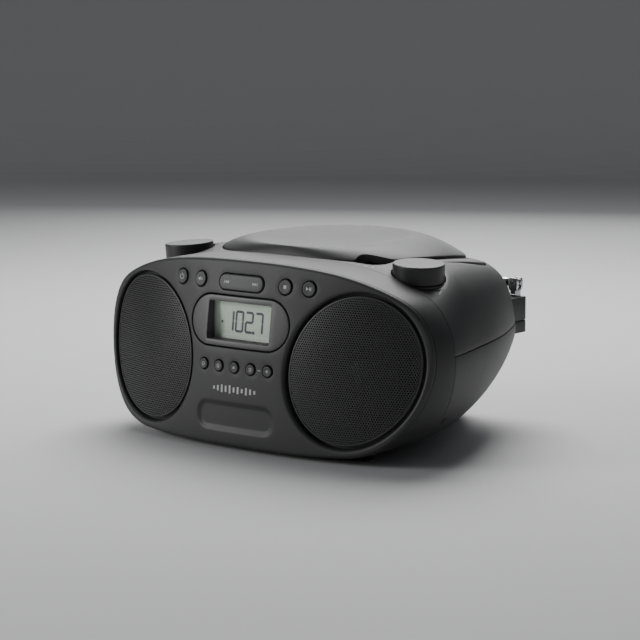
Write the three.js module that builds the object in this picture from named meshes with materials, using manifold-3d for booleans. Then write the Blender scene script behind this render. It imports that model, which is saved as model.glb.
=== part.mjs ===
// Portable disc player and radio with a carry handle. Millimetres, +Z up, the front looks along -Y.
// Everything is laid out from the middle of the front panel at the height of the loudspeaker
// centres; the finished group is then moved so that its origin is under the middle of the object.
import * as THREE from "three";
import { mergeVertices } from "three/addons/utils/BufferGeometryUtils.js";
import Module from "manifold-3d";

const wasm = await Module();
wasm.setup();

// ---------------------------------------------------------------- driving dimensions
const WALL = 2.6; // wall of every moulded shell
const GAP = 0.4; // between fixed neighbours
const RUN = 0.6; // round anything that moves
const RING = 48; // points round each cross-section of the case
const LID_POINTS = 36; // and round the lid

const FRONT_HALF_WIDTH = 143.5; // front panel, at its widest
const SEAM_HALF_WIDTH = FRONT_HALF_WIDTH + 2.8; // case at the seam behind the front frame
const SEAM_Y = 50; // plane between front frame and rear shells
const SPLIT_Z = 10.9; // plane between upper and lower rear shells
const CASE_LENGTH = 164; // from the seam to the rear face
const SHOULDER_RUN = 44; // from the seam to where the shoulders are full
const TOP_FALL = 0.34; // share of the height that the top loses at the back
const BELLY_RISE = 0.68; // and that the sides of the belly lose
const FLOOR_Z = -62.5; // what the feet stand on

const BOW_X = 0.001446; // front panel bows back by this much per mm of x squared
const LEAN = 0.0881; // and leans back
const BOW_Z = 0.000985;
const BOW_CORNERS = -1.1e-7; // its corners bow back a little less

const SPEAKER_X = 89.5; // loudspeaker centres
const SPEAKER_OPENING = [47.2, 53.2]; // half-axes of each speaker opening
const SPEAKER_TILT = 0.5; // long axis leans outwards at the top
const SPEAKER_POINTS = 40; // points round each speaker opening
const GRILLE_INSET = 3.6; // dark gutter round each grille
const GRILLE_SETBACK = 2.2;
const GRILLE_CROWN = 2; // how far the middle of a grille stands forward
const CONE_RADIUS = 33;
const CONE_TRAVEL = 1.5;

const BUTTON_RADIUS = 5;
const BUTTON_Z = 52;
const BUTTON_X = [37.4, 56.1];
const KEY_RADIUS = 3.65;
const KEY_Z = -4.8;
const KEY_PITCH = 14.1;
const ROCKER_SIZE = [39, 10.5];
const PRESS = 1; // travel of every button
const KEY_BOARD_Y = 21; // front face of the board behind the buttons

const DISPLAY_SIZE = [87, 35.7];
const DISPLAY_Z = 25.5;
const WINDOW_SIZE = [55, 26.1];
const WINDOW_DEPTH = 4;
const LENS_THICK = 1;
const LCD_THICK = 2;

const DISH_SIZE = [65.4, 17.5]; // shallow recess low on the front panel
const DISH_Z = -39;
const DISH_DEPTH = 1.5;

const KNOB_RADIUS = 17.5;
const KNOB_HEIGHT = 12.4;
const KNOB_AT = [102.8, 68.8, 67.6]; // centre of the right knob's top face
const KNOB_LEAN = [0.05, 0.063]; // forwards, outwards
const KNOB_POCKET = KNOB_RADIUS + 0.9; // the well that it turns in

const LID_CENTRE_Y = 119;
const LID_HALF = [86, 68]; // half-width and half-depth of the lid
const LID_POWER = 2.7;
const LID_PROUD = 0.6; // edge of the lid above the case round it
const RIM_Z = 75.8; // rim of the dish in the lid, at the middle of the dish
const RIM_SLOPE = 0.042; // it rises towards the back
const LID_SKIRT = 5; // height of the lid's edge
const LID_DISH = [56, 105, 71.4]; // radius, centre y and height of the middle of the dish
const LID_OPEN = 62;
const HINGE_Y = 183.8; // axis that the lid swings about
const HINGE_Z = 58.2;
const HINGE_HALF = 40; // half the length of its pin
const HINGE_RADIUS = 1.5;

const HANDLE_HALF = [97, 88]; // outer half-width and half-depth
const HANDLE_POWER = 2.5;
const HANDLE_PIVOT_Y = 100;
const HANDLE_PIVOT_Z = 59.5;
const HANDLE_THICK = 9;
const HANDLE_CLEAR = 1.6; // between the lid and the handle at the sides
const HANDLE_EDGE = 2.6; // more than that at the back, where the lid swings
const PIN_RADIUS = 2;

const DISC_RADIUS = 60;
const DECK_Z = 50; // floor that a disc lies just above
const DECK_THICK = 2.4;
const HUB_RADIUS = 15;
const SLED_TRAVEL = 34;
const ROD_X = 17;
const ROD_RADIUS = 1.5;

const LEDGE = [88, 8, 26]; // half-width, depth and height of the ledge on the back
const LEDGE_Z = 2;
const LEDGE_ROOT = 45; // how far it reaches into the case
const MAST_RADII = [3.2, 2.6, 2.0, 1.4];
const MAST_LENGTH = 150;
const MAST_Z = 37.5;
const MAST_X = 80;

const DOOR = [110, 70, 106]; // battery door: width, depth and centre y
const BAY_HEIGHT = 32;
const FOOT_RADIUS = 8;
const FOOT_SINK = 3; // how far each foot is let into the case
const UNDERSIDE_Z = FLOOR_Z + 3; // and how far it stands out of it
const FEET = [
  ["front_left", -82, 34],
  ["front_right", 82, 34],
  ["rear_left", -44, 186],
  ["rear_right", 44, 186],
];

// ---------------------------------------------------------------- outlines of the case
// Right half of each outline, from the top middle down to the bottom middle.
const FRONT_KEYS = [
  [0, 67.2], [45, 65.9], [80, 61.8], [108, 53.8], [129, 43], [140, 27], [143.5, 10],
  [141.3, -9], [133, -29], [118, -46.5], [100, -55.4], [70, -58.5], [0, -59.2],
];
const SEAM_KEYS = [
  [0, 67.4], [45, 66.2], [80, 62.4], [108, 54.8], [130, 44.5], [142, 28.5], [146.3, 10.9],
  [145, -9], [138, -28], [124.5, -44], [104, -54.5], [70, -59], [0, -59.6],
];
// The shoulders behind the knobs are fuller; widths as they would be at the seam.
const SHOULDER_KEYS = [
  [0, 68.4], [52, 68.2], [92, 66.8], [110, 63.6], [124.5, 56.5], [137, 43], [146.3, 10.9],
  [145, -9], [138, -28], [124.5, -44], [104, -54.5], [70, -59], [0, -59.6],
];

const bow = (x, z) => BOW_X * x * x + LEAN * z + BOW_Z * z * z + BOW_CORNERS * x * x * z * z;

function closedRing(keys, halfWidth) {
  const scale = halfWidth / Math.max(...keys.map(([x]) => x));
  const right = keys.map(([x, z]) => new THREE.Vector3(x * scale, z, 0));
  const left = right.slice(1, -1).reverse().map((p) => new THREE.Vector3(-p.x, p.y, 0));
  const curve = new THREE.CatmullRomCurve3([...right, ...left], true, "centripetal");
  return curve.getPoints(RING).slice(0, RING).map((p) => [p.x, p.y]);
}

const frontRing = closedRing(FRONT_KEYS, FRONT_HALF_WIDTH);
const seamRing = closedRing(SEAM_KEYS, SEAM_HALF_WIDTH);
const shoulderRing = closedRing(SHOULDER_KEYS, SEAM_HALF_WIDTH);

// A ring moved inwards by a distance, along its own normals.
function inset(ring, distance) {
  return ring.map(([x, z], i) => {
    const [ax, az] = ring[(i + ring.length - 1) % ring.length];
    const [bx, bz] = ring[(i + 1) % ring.length];
    const length = Math.hypot(bx - ax, bz - az);
    return [x + ((bz - az) / length) * distance, z - ((bx - ax) / length) * distance];
  });
}

const smooth = (t) => {
  const s = Math.min(1, Math.max(0, t));
  return s * s * (3 - 2 * s);
};

// The case behind the seam: its shoulders fill out, it narrows towards the back, the top falls,
// and the belly rises at the sides while the middle stays level to stand on.
function rearRing(distance) {
  const t = distance / CASE_LENGTH;
  const fill = smooth(distance / SHOULDER_RUN);
  const narrow = 1 - 0.135 * t - 0.285 * t * t;
  const fall = 1 - TOP_FALL * t ** 4;
  return seamRing.map(([seamX, seamZ], i) => {
    const x = seamX + (shoulderRing[i][0] - seamX) * fill;
    const dz = seamZ + (shoulderRing[i][1] - seamZ) * fill - SPLIT_Z;
    const side = smooth((Math.abs(x) / SEAM_HALF_WIDTH - 0.42) / 0.45);
    const belly = 1 - BELLY_RISE * t ** 1.85 * side;
    return [x * narrow, SPLIT_Z + dz * (dz > 0 ? fall : belly)];
  });
}

// Height at which a ring's upper or lower half, from its middle outwards, passes over x.
function heightOn(ring, x) {
  const i = ring.findIndex(([px], k) => k > 0 && px >= Math.abs(x));
  const [[ax, az], [bx, bz]] = [ring[i - 1], ring[i]];
  return az + ((bz - az) * (Math.abs(x) - ax)) / (bx - ax);
}
const topAt = (x, y) => heightOn(rearRing(Math.max(0, y - SEAM_Y)), x);
const bottomAt = (x, y) => heightOn(rearRing(Math.max(0, y - SEAM_Y)).slice(0, RING / 2 + 1).reverse(), x);

// ---------------------------------------------------------------- solids
function manifold(shape) {
  if (!shape.isBufferGeometry) return shape;
  const bare = shape.index ? shape.toNonIndexed() : shape.clone();
  bare.deleteAttribute("normal");
  bare.deleteAttribute("uv");
  const merged = mergeVertices(bare, 1e-4);
  return new wasm.Manifold(
    new wasm.Mesh({
      numProp: 3,
      vertProperties: merged.attributes.position.array,
      triVerts: new Uint32Array(merged.index.array),
    }),
  );
}

const join = (first, ...more) => more.reduce((a, b) => a.add(manifold(b)), manifold(first));
const cut = (first, ...more) => more.reduce((a, b) => a.subtract(manifold(b)), manifold(first));
const common = (first, ...more) => more.reduce((a, b) => a.intersect(manifold(b)), manifold(first));

function toGeometry(shape) {
  if (shape.isBufferGeometry) return shape;
  const mesh = shape.getMesh();
  const indexed = new THREE.BufferGeometry();
  indexed.setAttribute("position", new THREE.BufferAttribute(mesh.vertProperties, 3));
  indexed.setIndex(new THREE.BufferAttribute(mesh.triVerts, 1));
  const flat = indexed.toNonIndexed();
  flat.computeVertexNormals();
  return flat;
}

function box(x0, x1, y0, y1, z0, z1) {
  const g = new THREE.BoxGeometry(x1 - x0, y1 - y0, z1 - z0);
  return g.translate((x0 + x1) / 2, (y0 + y1) / 2, (z0 + z1) / 2);
}

// An outline in X and Z, made solid from y0 to y1.
function plate(shape, y0, y1, curveSegments = 6) {
  const g = new THREE.ExtrudeGeometry(shape, { depth: y1 - y0, bevelEnabled: false, curveSegments });
  return g.rotateX(Math.PI / 2).translate(0, y1, 0);
}

// An outline in X and Y, made solid from z0 to z1.
function slab(shape, z0, z1, curveSegments = 16) {
  const g = new THREE.ExtrudeGeometry(shape, { depth: z1 - z0, bevelEnabled: false, curveSegments });
  return g.translate(0, 0, z0);
}

// A cylinder from one point to another.
function rod(radius, from, to, sides = 20) {
  const a = new THREE.Vector3(...from);
  const b = new THREE.Vector3(...to);
  const g = new THREE.CylinderGeometry(radius, radius, a.distanceTo(b), sides);
  const turn = new THREE.Quaternion().setFromUnitVectors(
    new THREE.Vector3(0, 1, 0),
    b.clone().sub(a).normalize(),
  );
  const middle = a.add(b).multiplyScalar(0.5);
  return g.applyQuaternion(turn).translate(middle.x, middle.y, middle.z);
}

// A turned piece about Z; its profile lists [radius, z] and runs from axis to axis.
function turned(profile, sides = 24) {
  const points = profile.map(([r, z]) => new THREE.Vector2(r, z));
  const g = new THREE.LatheGeometry(points, sides).rotateX(Math.PI / 2);
  return manifold(g).volume() < 0 ? flipped(g) : g;
}

function flipped(geometry) {
  const g = geometry.index ? geometry.toNonIndexed() : geometry;
  const p = g.attributes.position;
  for (let i = 0; i < p.count; i += 3) {
    const a = new THREE.Vector3().fromBufferAttribute(p, i);
    const b = new THREE.Vector3().fromBufferAttribute(p, i + 1);
    p.setXYZ(i, b.x, b.y, b.z);
    p.setXYZ(i + 1, a.x, a.y, a.z);
  }
  return g;
}

// A skin through rings of [x, y, z] points, closed at both ends by a point in the ring's middle.
function loft(rings) {
  const points = rings.flat();
  const n = rings[0].length;
  const faces = [];
  for (let r = 0; r + 1 < rings.length; r++)
    for (let i = 0; i < n; i++) {
      const a = r * n + i;
      const b = r * n + ((i + 1) % n);
      faces.push(a, b, b + n, a, b + n, a + n);
    }
  for (const [ring, first, turn] of [[rings[0], 0, 1], [rings.at(-1), points.length - n, 0]]) {
    const centre = [0, 1, 2].map((k) => ring.reduce((sum, p) => sum + p[k], 0) / n);
    points.push(centre);
    for (let i = 0; i < n; i++) {
      const a = first + i;
      const b = first + ((i + 1) % n);
      faces.push(points.length - 1, turn ? b : a, turn ? a : b);
    }
  }
  const g = new THREE.BufferGeometry();
  g.setAttribute("position", new THREE.Float32BufferAttribute(points.flat(), 3));
  g.setIndex(faces);
  return manifold(g).volume() < 0 ? flipped(g) : g;
}

const atY = (ring, y) => ring.map(([x, z]) => [x, y, z]);

// A sheet that follows the bowed front, from `front` to `back` mm behind its surface.
function bowed(shape, front, back, crown = () => 0, columns = 14, rows = 6) {
  const g = new THREE.BoxGeometry(2 * SEAM_HALF_WIDTH, 1, 150, columns, 1, rows);
  const p = g.attributes.position;
  for (let i = 0; i < p.count; i++) {
    const [x, z] = [p.getX(i), p.getZ(i)];
    p.setY(i, bow(x, z) - crown(x, z) + (p.getY(i) < 0 ? front : back));
  }
  return common(g, plate(shape, -30, 90));
}

// ---------------------------------------------------------------- outlines
const polygon = (points) => new THREE.Shape(points.map(([x, y]) => new THREE.Vector2(x, y)));

function rounded(width, height, radius, x = 0, y = 0) {
  const shape = new THREE.Shape();
  const [w, h] = [width / 2 - radius, height / 2 - radius];
  shape.absarc(x + w, y - h, radius, -Math.PI / 2, 0);
  shape.absarc(x + w, y + h, radius, 0, Math.PI / 2);
  shape.absarc(x - w, y + h, radius, Math.PI / 2, Math.PI);
  shape.absarc(x - w, y - h, radius, Math.PI, 1.5 * Math.PI);
  return shape;
}

const stadium = (width, height, x, y) => rounded(width, height, height / 2 - 0.01, x, y);

// An ellipse about x, y with half-axes a and b, turned by `turn`.
function oval(a, b, x = 0, y = 0, turn = 0, points = 14) {
  const [c, s] = [Math.cos(turn), Math.sin(turn)];
  return polygon(Array.from({ length: points }, (_, i) => {
    const angle = (2 * Math.PI * i) / points;
    const [u, v] = [a * Math.cos(angle), b * Math.sin(angle)];
    return [x + u * c - v * s, y + u * s + v * c];
  }));
}

const disc = (radius, x = 0, y = 0, points = 14) => oval(radius, radius, x, y, 0, points);

function speakerOval(side, grow) {
  const [a, b] = SPEAKER_OPENING;
  return oval(a + grow, b + grow, side * SPEAKER_X, 0, -side * SPEAKER_TILT, SPEAKER_POINTS);
}

// Superellipse in plan: |x/a|^p + |y/b|^p = 1.
function roundLid([a, b], power, angle) {
  const [c, s] = [Math.cos(angle), Math.sin(angle)];
  const x = a * Math.sign(c) * Math.abs(c) ** (2 / power);
  const y = b * Math.sign(s) * Math.abs(s) ** (2 / power);
  return [x, LID_CENTRE_Y + y];
}
const lidRing = (grow, points = LID_POINTS) => Array.from({ length: points }, (_, i) =>
  roundLid(LID_HALF.map((half) => half + grow), LID_POWER, (2 * Math.PI * i) / points));

// ---------------------------------------------------------------- looks
const PLASTIC = { color: 0x2b2b2d, roughness: 0.55, metalness: 0 };
const GLOSS = { color: 0x1c1c1e, roughness: 0.35, metalness: 0 };
const MESH_STEEL = { color: 0x1a1a1b, roughness: 0.5, metalness: 0.6 };
const CHROME = { color: 0xc8c8c8, roughness: 0.12, metalness: 1 };
const STEEL = { color: 0x8c8c8c, roughness: 0.35, metalness: 1 };
const RUBBER = { color: 0x101010, roughness: 0.9, metalness: 0 };
const BOARD = { color: 0x1d5a34, roughness: 0.6, metalness: 0 };
const PAPER = { color: 0x151515, roughness: 0.85, metalness: 0 };
const LCD = { color: 0xa9b29f, roughness: 0.4, metalness: 0 };
const CLEAR = { color: 0xdfe4df, roughness: 0.08, metalness: 0, transparent: true, opacity: 0.3 };

const SIDES = [[-1, "left"], [1, "right"]];
const boombox = new THREE.Group();

function add(name, shape, look, parent = boombox) {
  const mesh = new THREE.Mesh(toGeometry(shape), new THREE.MeshStandardMaterial(look));
  mesh.name = name;
  parent.add(mesh);
}

// ---------------------------------------------------------------- case
const bandRings = (grow) =>
  [0, 0.12, 0.5, 1].map((t) =>
    inset(frontRing, -grow).map(([x, z], i) => {
      const [sx, sz] = inset(seamRing, -grow)[i];
      const swell = Math.sin((t * Math.PI) / 2) ** 0.8;
      const edge = bow(frontRing[i][0], frontRing[i][1]) + WALL + GAP;
      return [x + (sx - x) * swell, edge + (SEAM_Y - edge) * t, z + (sz - z) * swell];
    }),
  );

// How far along the rear the rings stand, and how much the last ones draw in round the back edge.
const REAR_STEPS = [0, 0.15, 0.3, 0.5, 0.7, 0.88, 0.96, 1];
function rearSolid(grow, end) {
  const rings = REAR_STEPS.map((t) => {
    const drawIn = t > 0.88 ? 9 * (1 - Math.sqrt(1 - ((t - 0.88) / 0.12) ** 2)) : 0;
    return atY(inset(rearRing(t * CASE_LENGTH), drawIn - grow), SEAM_Y + t * (CASE_LENGTH + end));
  });
  return loft(rings);
}

const frontSolid = (grow, past) => {
  const rings = bandRings(grow);
  const last = rings.at(-1).map(([x, y, z]) => [x, y + past, z]);
  const first = rings[0].map(([x, y, z]) => [x, y - past, z]);
  return loft(past ? [first, ...rings, last] : rings);
};

const frontCase = frontSolid(0, 0);
const rearFace = SEAM_Y + CASE_LENGTH;
const ledge = slab(
  rounded(2 * LEDGE[0], LEDGE_ROOT + LEDGE[1], 3, 0, rearFace + (LEDGE[1] - LEDGE_ROOT) / 2),
  LEDGE_Z, LEDGE_Z + LEDGE[2],
);
const rearCase = join(rearSolid(0, 0), ledge);

// Tilted frame of each knob: its local origin is the middle of the knob's top face.
const knobPlace = (side) =>
  new THREE.Matrix4()
    .makeTranslation(side * KNOB_AT[0], KNOB_AT[1], KNOB_AT[2])
    .multiply(new THREE.Matrix4().makeRotationY(side * KNOB_LEAN[1]))
    .multiply(new THREE.Matrix4().makeRotationX(KNOB_LEAN[0]));
const atKnobs = (make) => [-1, 1].map((side) => make.clone().applyMatrix4(knobPlace(side)));
const upright = (radius, z0, z1, sides = 32) => rod(radius, [0, 0, z0], [0, 0, z1], sides);

const KNOB_SEAT = -KNOB_HEIGHT - RUN;
const KNOB_SHAFT = 3;
const knobCups = atKnobs(upright(KNOB_POCKET + WALL, KNOB_SEAT - WALL, 10));
const knobPockets = atKnobs(upright(KNOB_POCKET, KNOB_SEAT, 30));
const knobBores = atKnobs(upright(KNOB_SHAFT + RUN, -40, 10, 20));

const feetPads = FEET.map(([, x, y]) =>
  rod(FOOT_RADIUS + WALL, [x, y, FLOOR_Z], [x, y, UNDERSIDE_Z + FOOT_SINK + WALL], 24));
const feetWells = FEET.map(([, x, y]) =>
  rod(FOOT_RADIUS + GAP, [x, y, FLOOR_Z - 5], [x, y, UNDERSIDE_Z + FOOT_SINK], 24));

// The lid, the space that it closes, and the crescent that the handle lies in.
const LID_RUN = RUN + 0.2;
const deckFloor = DECK_Z - DECK_THICK - GAP;
const lidHole = slab(polygon(lidRing(LID_RUN)), deckFloor - 1, 150);
const lidCollar = slab(polygon(lidRing(LID_RUN + WALL)), deckFloor, 150);

// Plan of the handle: a superellipse outside, the lid's outline inside, round tips at the pins.
function handlePlan(grow) {
  const half = HANDLE_HALF.map((size) => size + grow);
  const start = -Math.asin(((LID_CENTRE_Y - HANDLE_PIVOT_Y) / half[1]) ** (HANDLE_POWER / 2));
  const steps = 20;
  const outer = Array.from({ length: steps + 1 }, (_, i) =>
    roundLid(half, HANDLE_POWER, start + ((Math.PI - 2 * start) * i) / steps));
  const inner = lidRing(HANDLE_CLEAR - grow)
    .filter(([, y]) => y > HANDLE_PIVOT_Y)
    .map(([x, y]) => [x, y + HANDLE_EDGE * smooth((y - LID_CENTRE_Y) / LID_HALF[1])])
    .sort((p, q) => Math.atan2(p[1], p[0]) - Math.atan2(q[1], q[0]));
  const tips = [[1, outer[0], inner[0]], [-1, outer.at(-1), inner.at(-1)]].map(([side, out, into]) => {
    const radius = Math.abs(out[0] - into[0]) / 2;
    const middle = (out[0] + into[0]) / 2;
    return Array.from({ length: 7 }, (_, i) => {
      const angle = (Math.PI * (i + 1)) / 8;
      return [middle - side * radius * Math.cos(angle), HANDLE_PIVOT_Y - radius * Math.sin(angle)];
    });
  });
  return polygon([...outer, ...tips[1].reverse(), ...inner.reverse(), ...tips[0]]);
}

// The handle's top follows the case; this is how far it lies below its height at the pins.
const handleDrop = (y) => topAt(0, HANDLE_PIVOT_Y) - topAt(0, Math.max(HANDLE_PIVOT_Y, y));
function crescent(grow, bottom, top) {
  const g = slab(handlePlan(grow), bottom, top);
  const p = g.attributes.position;
  for (let i = 0; i < p.count; i++) p.setZ(i, p.getZ(i) - handleDrop(p.getY(i)));
  return g;
}

const HANDLE_TOP = HANDLE_PIVOT_Z + HANDLE_THICK / 2;
const tipBarrel = (radius, past) => [-1, 1].map((side) =>
  rod(radius, [side * (LID_HALF[0] - past), HANDLE_PIVOT_Y, HANDLE_PIVOT_Z],
    [side * (HANDLE_HALF[0] + past), HANDLE_PIVOT_Y, HANDLE_PIVOT_Z], 20));
const tipCups = tipBarrel(HANDLE_THICK + WALL, WALL);
const tipRoom = tipBarrel(HANDLE_THICK, 0);
const handleFloor = HANDLE_TOP - HANDLE_THICK - 3 * RUN;
const handleTrough = crescent(WALL + 1.6, handleFloor - WALL, 120);
const handleRoom = join(crescent(1.4, handleFloor, 140), ...tipRoom);

const notch = new THREE.SphereGeometry(1, 20, 12).scale(14, 9, 7)
  .rotateZ(0.55).translate(67, 62, topAt(67, 62) + 1);

const hingeLine = (radius, x0, x1, sides = 16) =>
  rod(radius, [x0, HINGE_Y, HINGE_Z], [x1, HINGE_Y, HINGE_Z], sides);
// The lugs that hold the ends of the hinge pin.
const hingeLugs = (grow) => [-1, 1].map((side) => {
  const middle = side * (HINGE_HALF - 2.5);
  return box(middle - 3 - grow, middle + 3 + grow, HINGE_Y - 3.5 - grow, HINGE_Y + 2.9 + grow,
    deckFloor - grow, HINGE_Z + 2.6 + grow);
});

// Room for the back edge of the lid to swing down into.
const hingeRoom = common(
  slab(polygon(lidRing(LID_RUN + WALL + 1)), HINGE_Z - 3 - RUN, 150),
  box(-HINGE_HALF - 20, HINGE_HALF + 20, HINGE_Y - 12, 300, 0, 150),
);

const inside = rearSolid(-WALL, -WALL);
const insideOpen = join(inside, frontSolid(-WALL, 5));
const keepUp = box(-200, 200, SEAM_Y + GAP, 400, SPLIT_Z + GAP / 2, 200);
const keepDown = box(-200, 200, SEAM_Y + GAP, 400, -200, SPLIT_Z - GAP / 2);

add("front_frame", cut(
  join(cut(frontCase, frontSolid(-WALL, 5)), common(join(...knobCups, ...feetPads), frontCase)),
  ...knobPockets, ...knobBores, ...feetWells, notch,
), PLASTIC);

const handlePinHoles = [-1, 1].map((side) =>
  rod(PIN_RADIUS + 0.1, [side * (LID_HALF[0] + 4), HANDLE_PIVOT_Y, HANDLE_PIVOT_Z],
    [side * 125, HANDLE_PIVOT_Y, HANDLE_PIVOT_Z], 16));
const mast = [MAST_X, rearFace + LEDGE[1] / 2 + 0.8, MAST_Z];
const mastWell = rod(4 + GAP, [mast[0], mast[1], LEDGE_Z + LEDGE[2] - 8], [mast[0], mast[1], 60], 20);

add("upper_rear_shell", cut(
  common(
    join(
      cut(
        join(
          cut(rearCase, insideOpen),
          common(join(lidCollar, handleTrough, ...tipCups, ...knobCups), rearCase),
        ),
        lidHole, handleRoom, hingeRoom,
      ),
      ...hingeLugs(0),
    ),
    keepUp,
  ),
  hingeLine(HINGE_RADIUS + 0.15, -HINGE_HALF - 0.3, HINGE_HALF + 0.3),
  ...knobPockets, ...knobBores, ...handlePinHoles, notch, mastWell,
), PLASTIC);

const doorHole = box(-DOOR[0] / 2, DOOR[0] / 2, DOOR[2] - DOOR[1] / 2, DOOR[2] + DOOR[1] / 2, -100, -50);
const INLET = [26, 18, -30, -32]; // width, height, x and z of the mains inlet's opening
const inletHole = box(
  INLET[2] - INLET[0] / 2, INLET[2] + INLET[0] / 2, rearFace - 30, rearFace + 20,
  INLET[3] - INLET[1] / 2, INLET[3] + INLET[1] / 2,
);
const sideSlot = box(120, 150, SEAM_Y + 4, SEAM_Y + 6.2, -36.3, -31.7);
add("lower_rear_shell", cut(
  common(join(cut(rearCase, insideOpen), common(join(...feetPads), rearCase)), keepDown),
  ...feetWells, doorHole, inletHole, sideSlot,
), PLASTIC);

// ---------------------------------------------------------------- front panel
const buttonSpots = [...BUTTON_X.map((x) => -x).reverse(), ...BUTTON_X];
const keySpots = [-2, -1, 0, 1, 2].map((i) => i * KEY_PITCH);
const through = (shape) => plate(shape, -30, 90);
const speakerHoles = [-1, 1].map((side) => through(speakerOval(side, 0)));

add("fascia", cut(
  bowed(polygon(frontRing), 0, WALL),
  ...speakerHoles,
  ...buttonSpots.map((x) => through(disc(BUTTON_RADIUS + RUN, x, BUTTON_Z))),
  ...keySpots.map((x) => through(disc(KEY_RADIUS + RUN, x, KEY_Z))),
  through(stadium(ROCKER_SIZE[0] + 2 * RUN, ROCKER_SIZE[1] + 2 * RUN, 0, BUTTON_Z)),
  through(stadium(...DISPLAY_SIZE, 0, DISPLAY_Z)),
  bowed(rounded(...DISH_SIZE, 8, 0, DISH_Z), -3, DISH_DEPTH),
), PLASTIC);

// Direction into the panel, square to its surface.
function inward(x, z) {
  const across = 2 * x * (BOW_X + BOW_CORNERS * z * z);
  const up = LEAN + 2 * z * (BOW_Z + BOW_CORNERS * x * x);
  return new THREE.Vector3(-across, 1, -up).normalize();
}

// A group whose Z axis points out of the panel at x, z, with its origin on the surface.
function onPanel(x, z) {
  const group = new THREE.Group();
  group.position.set(x, bow(x, z), z);
  group.quaternion.setFromUnitVectors(new THREE.Vector3(0, 0, 1), inward(x, z).negate());
  boombox.add(group);
  return group;
}

// A cap through the panel, a flange that keeps it in, and a stem towards the board.
function button(name, x, z, radius) {
  const reach = (KEY_BOARD_Y - bow(x, z)) / inward(x, z).y - PRESS - GAP - 0.5;
  add(name, turned([
    [0, 1], [radius - 0.6, 1], [radius, 0.5], [radius, -WALL - PRESS], [radius + 1.4, -WALL - PRESS],
    [radius + 1.4, -WALL - PRESS - 1], [1.6, -WALL - PRESS - 1], [1.6, -reach], [0, -reach],
  ], 14), PLASTIC, onPanel(x, z));
}
["power_button", "mute_button", "stop_button", "play_button"].forEach((name, i) =>
  button(name, buttonSpots[i], BUTTON_Z, BUTTON_RADIUS));
["clock_key", "disc_key", "radio_key", "input_key", "memory_key"].forEach((name, i) =>
  button(name, keySpots[i], KEY_Z, KEY_RADIUS));

const [rockerWide, rockerHigh] = ROCKER_SIZE;
add("skip_rocker", join(
  bowed(stadium(rockerWide, rockerHigh, 0, BUTTON_Z), -0.9, WALL + 1.4),
  bowed(stadium(rockerWide + 2, rockerHigh + 2.6, 0, BUTTON_Z), WALL + 1.05, WALL + 2),
), PLASTIC);

const windowShape = rounded(...WINDOW_SIZE, 0.6, 0, DISPLAY_Z);
const [displayWide, displayHigh] = DISPLAY_SIZE;
add("display_bezel", cut(
  join(
    bowed(stadium(displayWide - 1.8, displayHigh - 1.8, 0, DISPLAY_Z), 0.1, WALL),
    bowed(rounded(WINDOW_SIZE[0] + 3, WINDOW_SIZE[1] + 3, 1.5, 0, DISPLAY_Z), WALL - 0.5, WINDOW_DEPTH),
  ),
  through(windowShape),
), GLOSS);
const lcdFront = bow(WINDOW_SIZE[0] / 2 + 1.5, DISPLAY_Z + WINDOW_SIZE[1] / 2 + 1.5) + WINDOW_DEPTH + GAP;
const behindWindow = (grow, y0, y1) => box(
  -WINDOW_SIZE[0] / 2 - grow, WINDOW_SIZE[0] / 2 + grow, y0, y1,
  DISPLAY_Z - WINDOW_SIZE[1] / 2 - grow, DISPLAY_Z + WINDOW_SIZE[1] / 2 + grow,
);
add("display_lens", behindWindow(1, lcdFront, lcdFront + LENS_THICK), CLEAR);
add("lcd_panel", behindWindow(2, lcdFront + LENS_THICK + GAP, lcdFront + LENS_THICK + GAP + LCD_THICK), LCD);
const keyBoard = polygon([
  [-34, -12], [34, -12], [34, 44], [62, 44], [62, 58], [-62, 58], [-62, 44], [-34, 44],
]);
add("key_board", plate(keyBoard, KEY_BOARD_Y, KEY_BOARD_Y + 1.6), BOARD);

// ---------------------------------------------------------------- loudspeakers
for (const [side, word] of SIDES) {
  const dome = (x, z) => {
    const r = Math.hypot((x - side * SPEAKER_X) / SPEAKER_OPENING[0], z / SPEAKER_OPENING[1]);
    return GRILLE_CROWN * Math.max(0, 1 - r ** 2);
  };
  add(word + "_grille", bowed(speakerOval(side, -GRILLE_INSET), GRILLE_SETBACK,
    GRILLE_SETBACK + 1, dome, 36, 14), MESH_STEEL);
  const place = onPanel(side * SPEAKER_X, 0);
  const rim = -GRILLE_SETBACK - 2.6; // front of the basket, clear of the grille
  add(word + "_speaker", turned([
    [0, rim - 36], [24, rim - 36], [24, rim - 24], [18, rim - 24], [CONE_RADIUS + 3.4, rim - 9],
    [CONE_RADIUS + 6, rim - 6], [CONE_RADIUS + 6, rim - 4], [CONE_RADIUS + 1.6, rim - 4],
    [CONE_RADIUS + 1.6, rim - 7.5], [15, rim - 22], [0, rim - 22],
  ]), STEEL, place);
  add(word + "_cone", turned([
    [0, rim - 10], [6, rim - 11], [9, rim - 14], [CONE_RADIUS - 4, rim - 4.5], [CONE_RADIUS - 1, rim - 3.4],
    [CONE_RADIUS, rim - 4.4], [CONE_RADIUS - 3.4, rim - 6], [11, rim - 16.5], [0, rim - 16.5],
  ]), PAPER, place);
}

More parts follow.
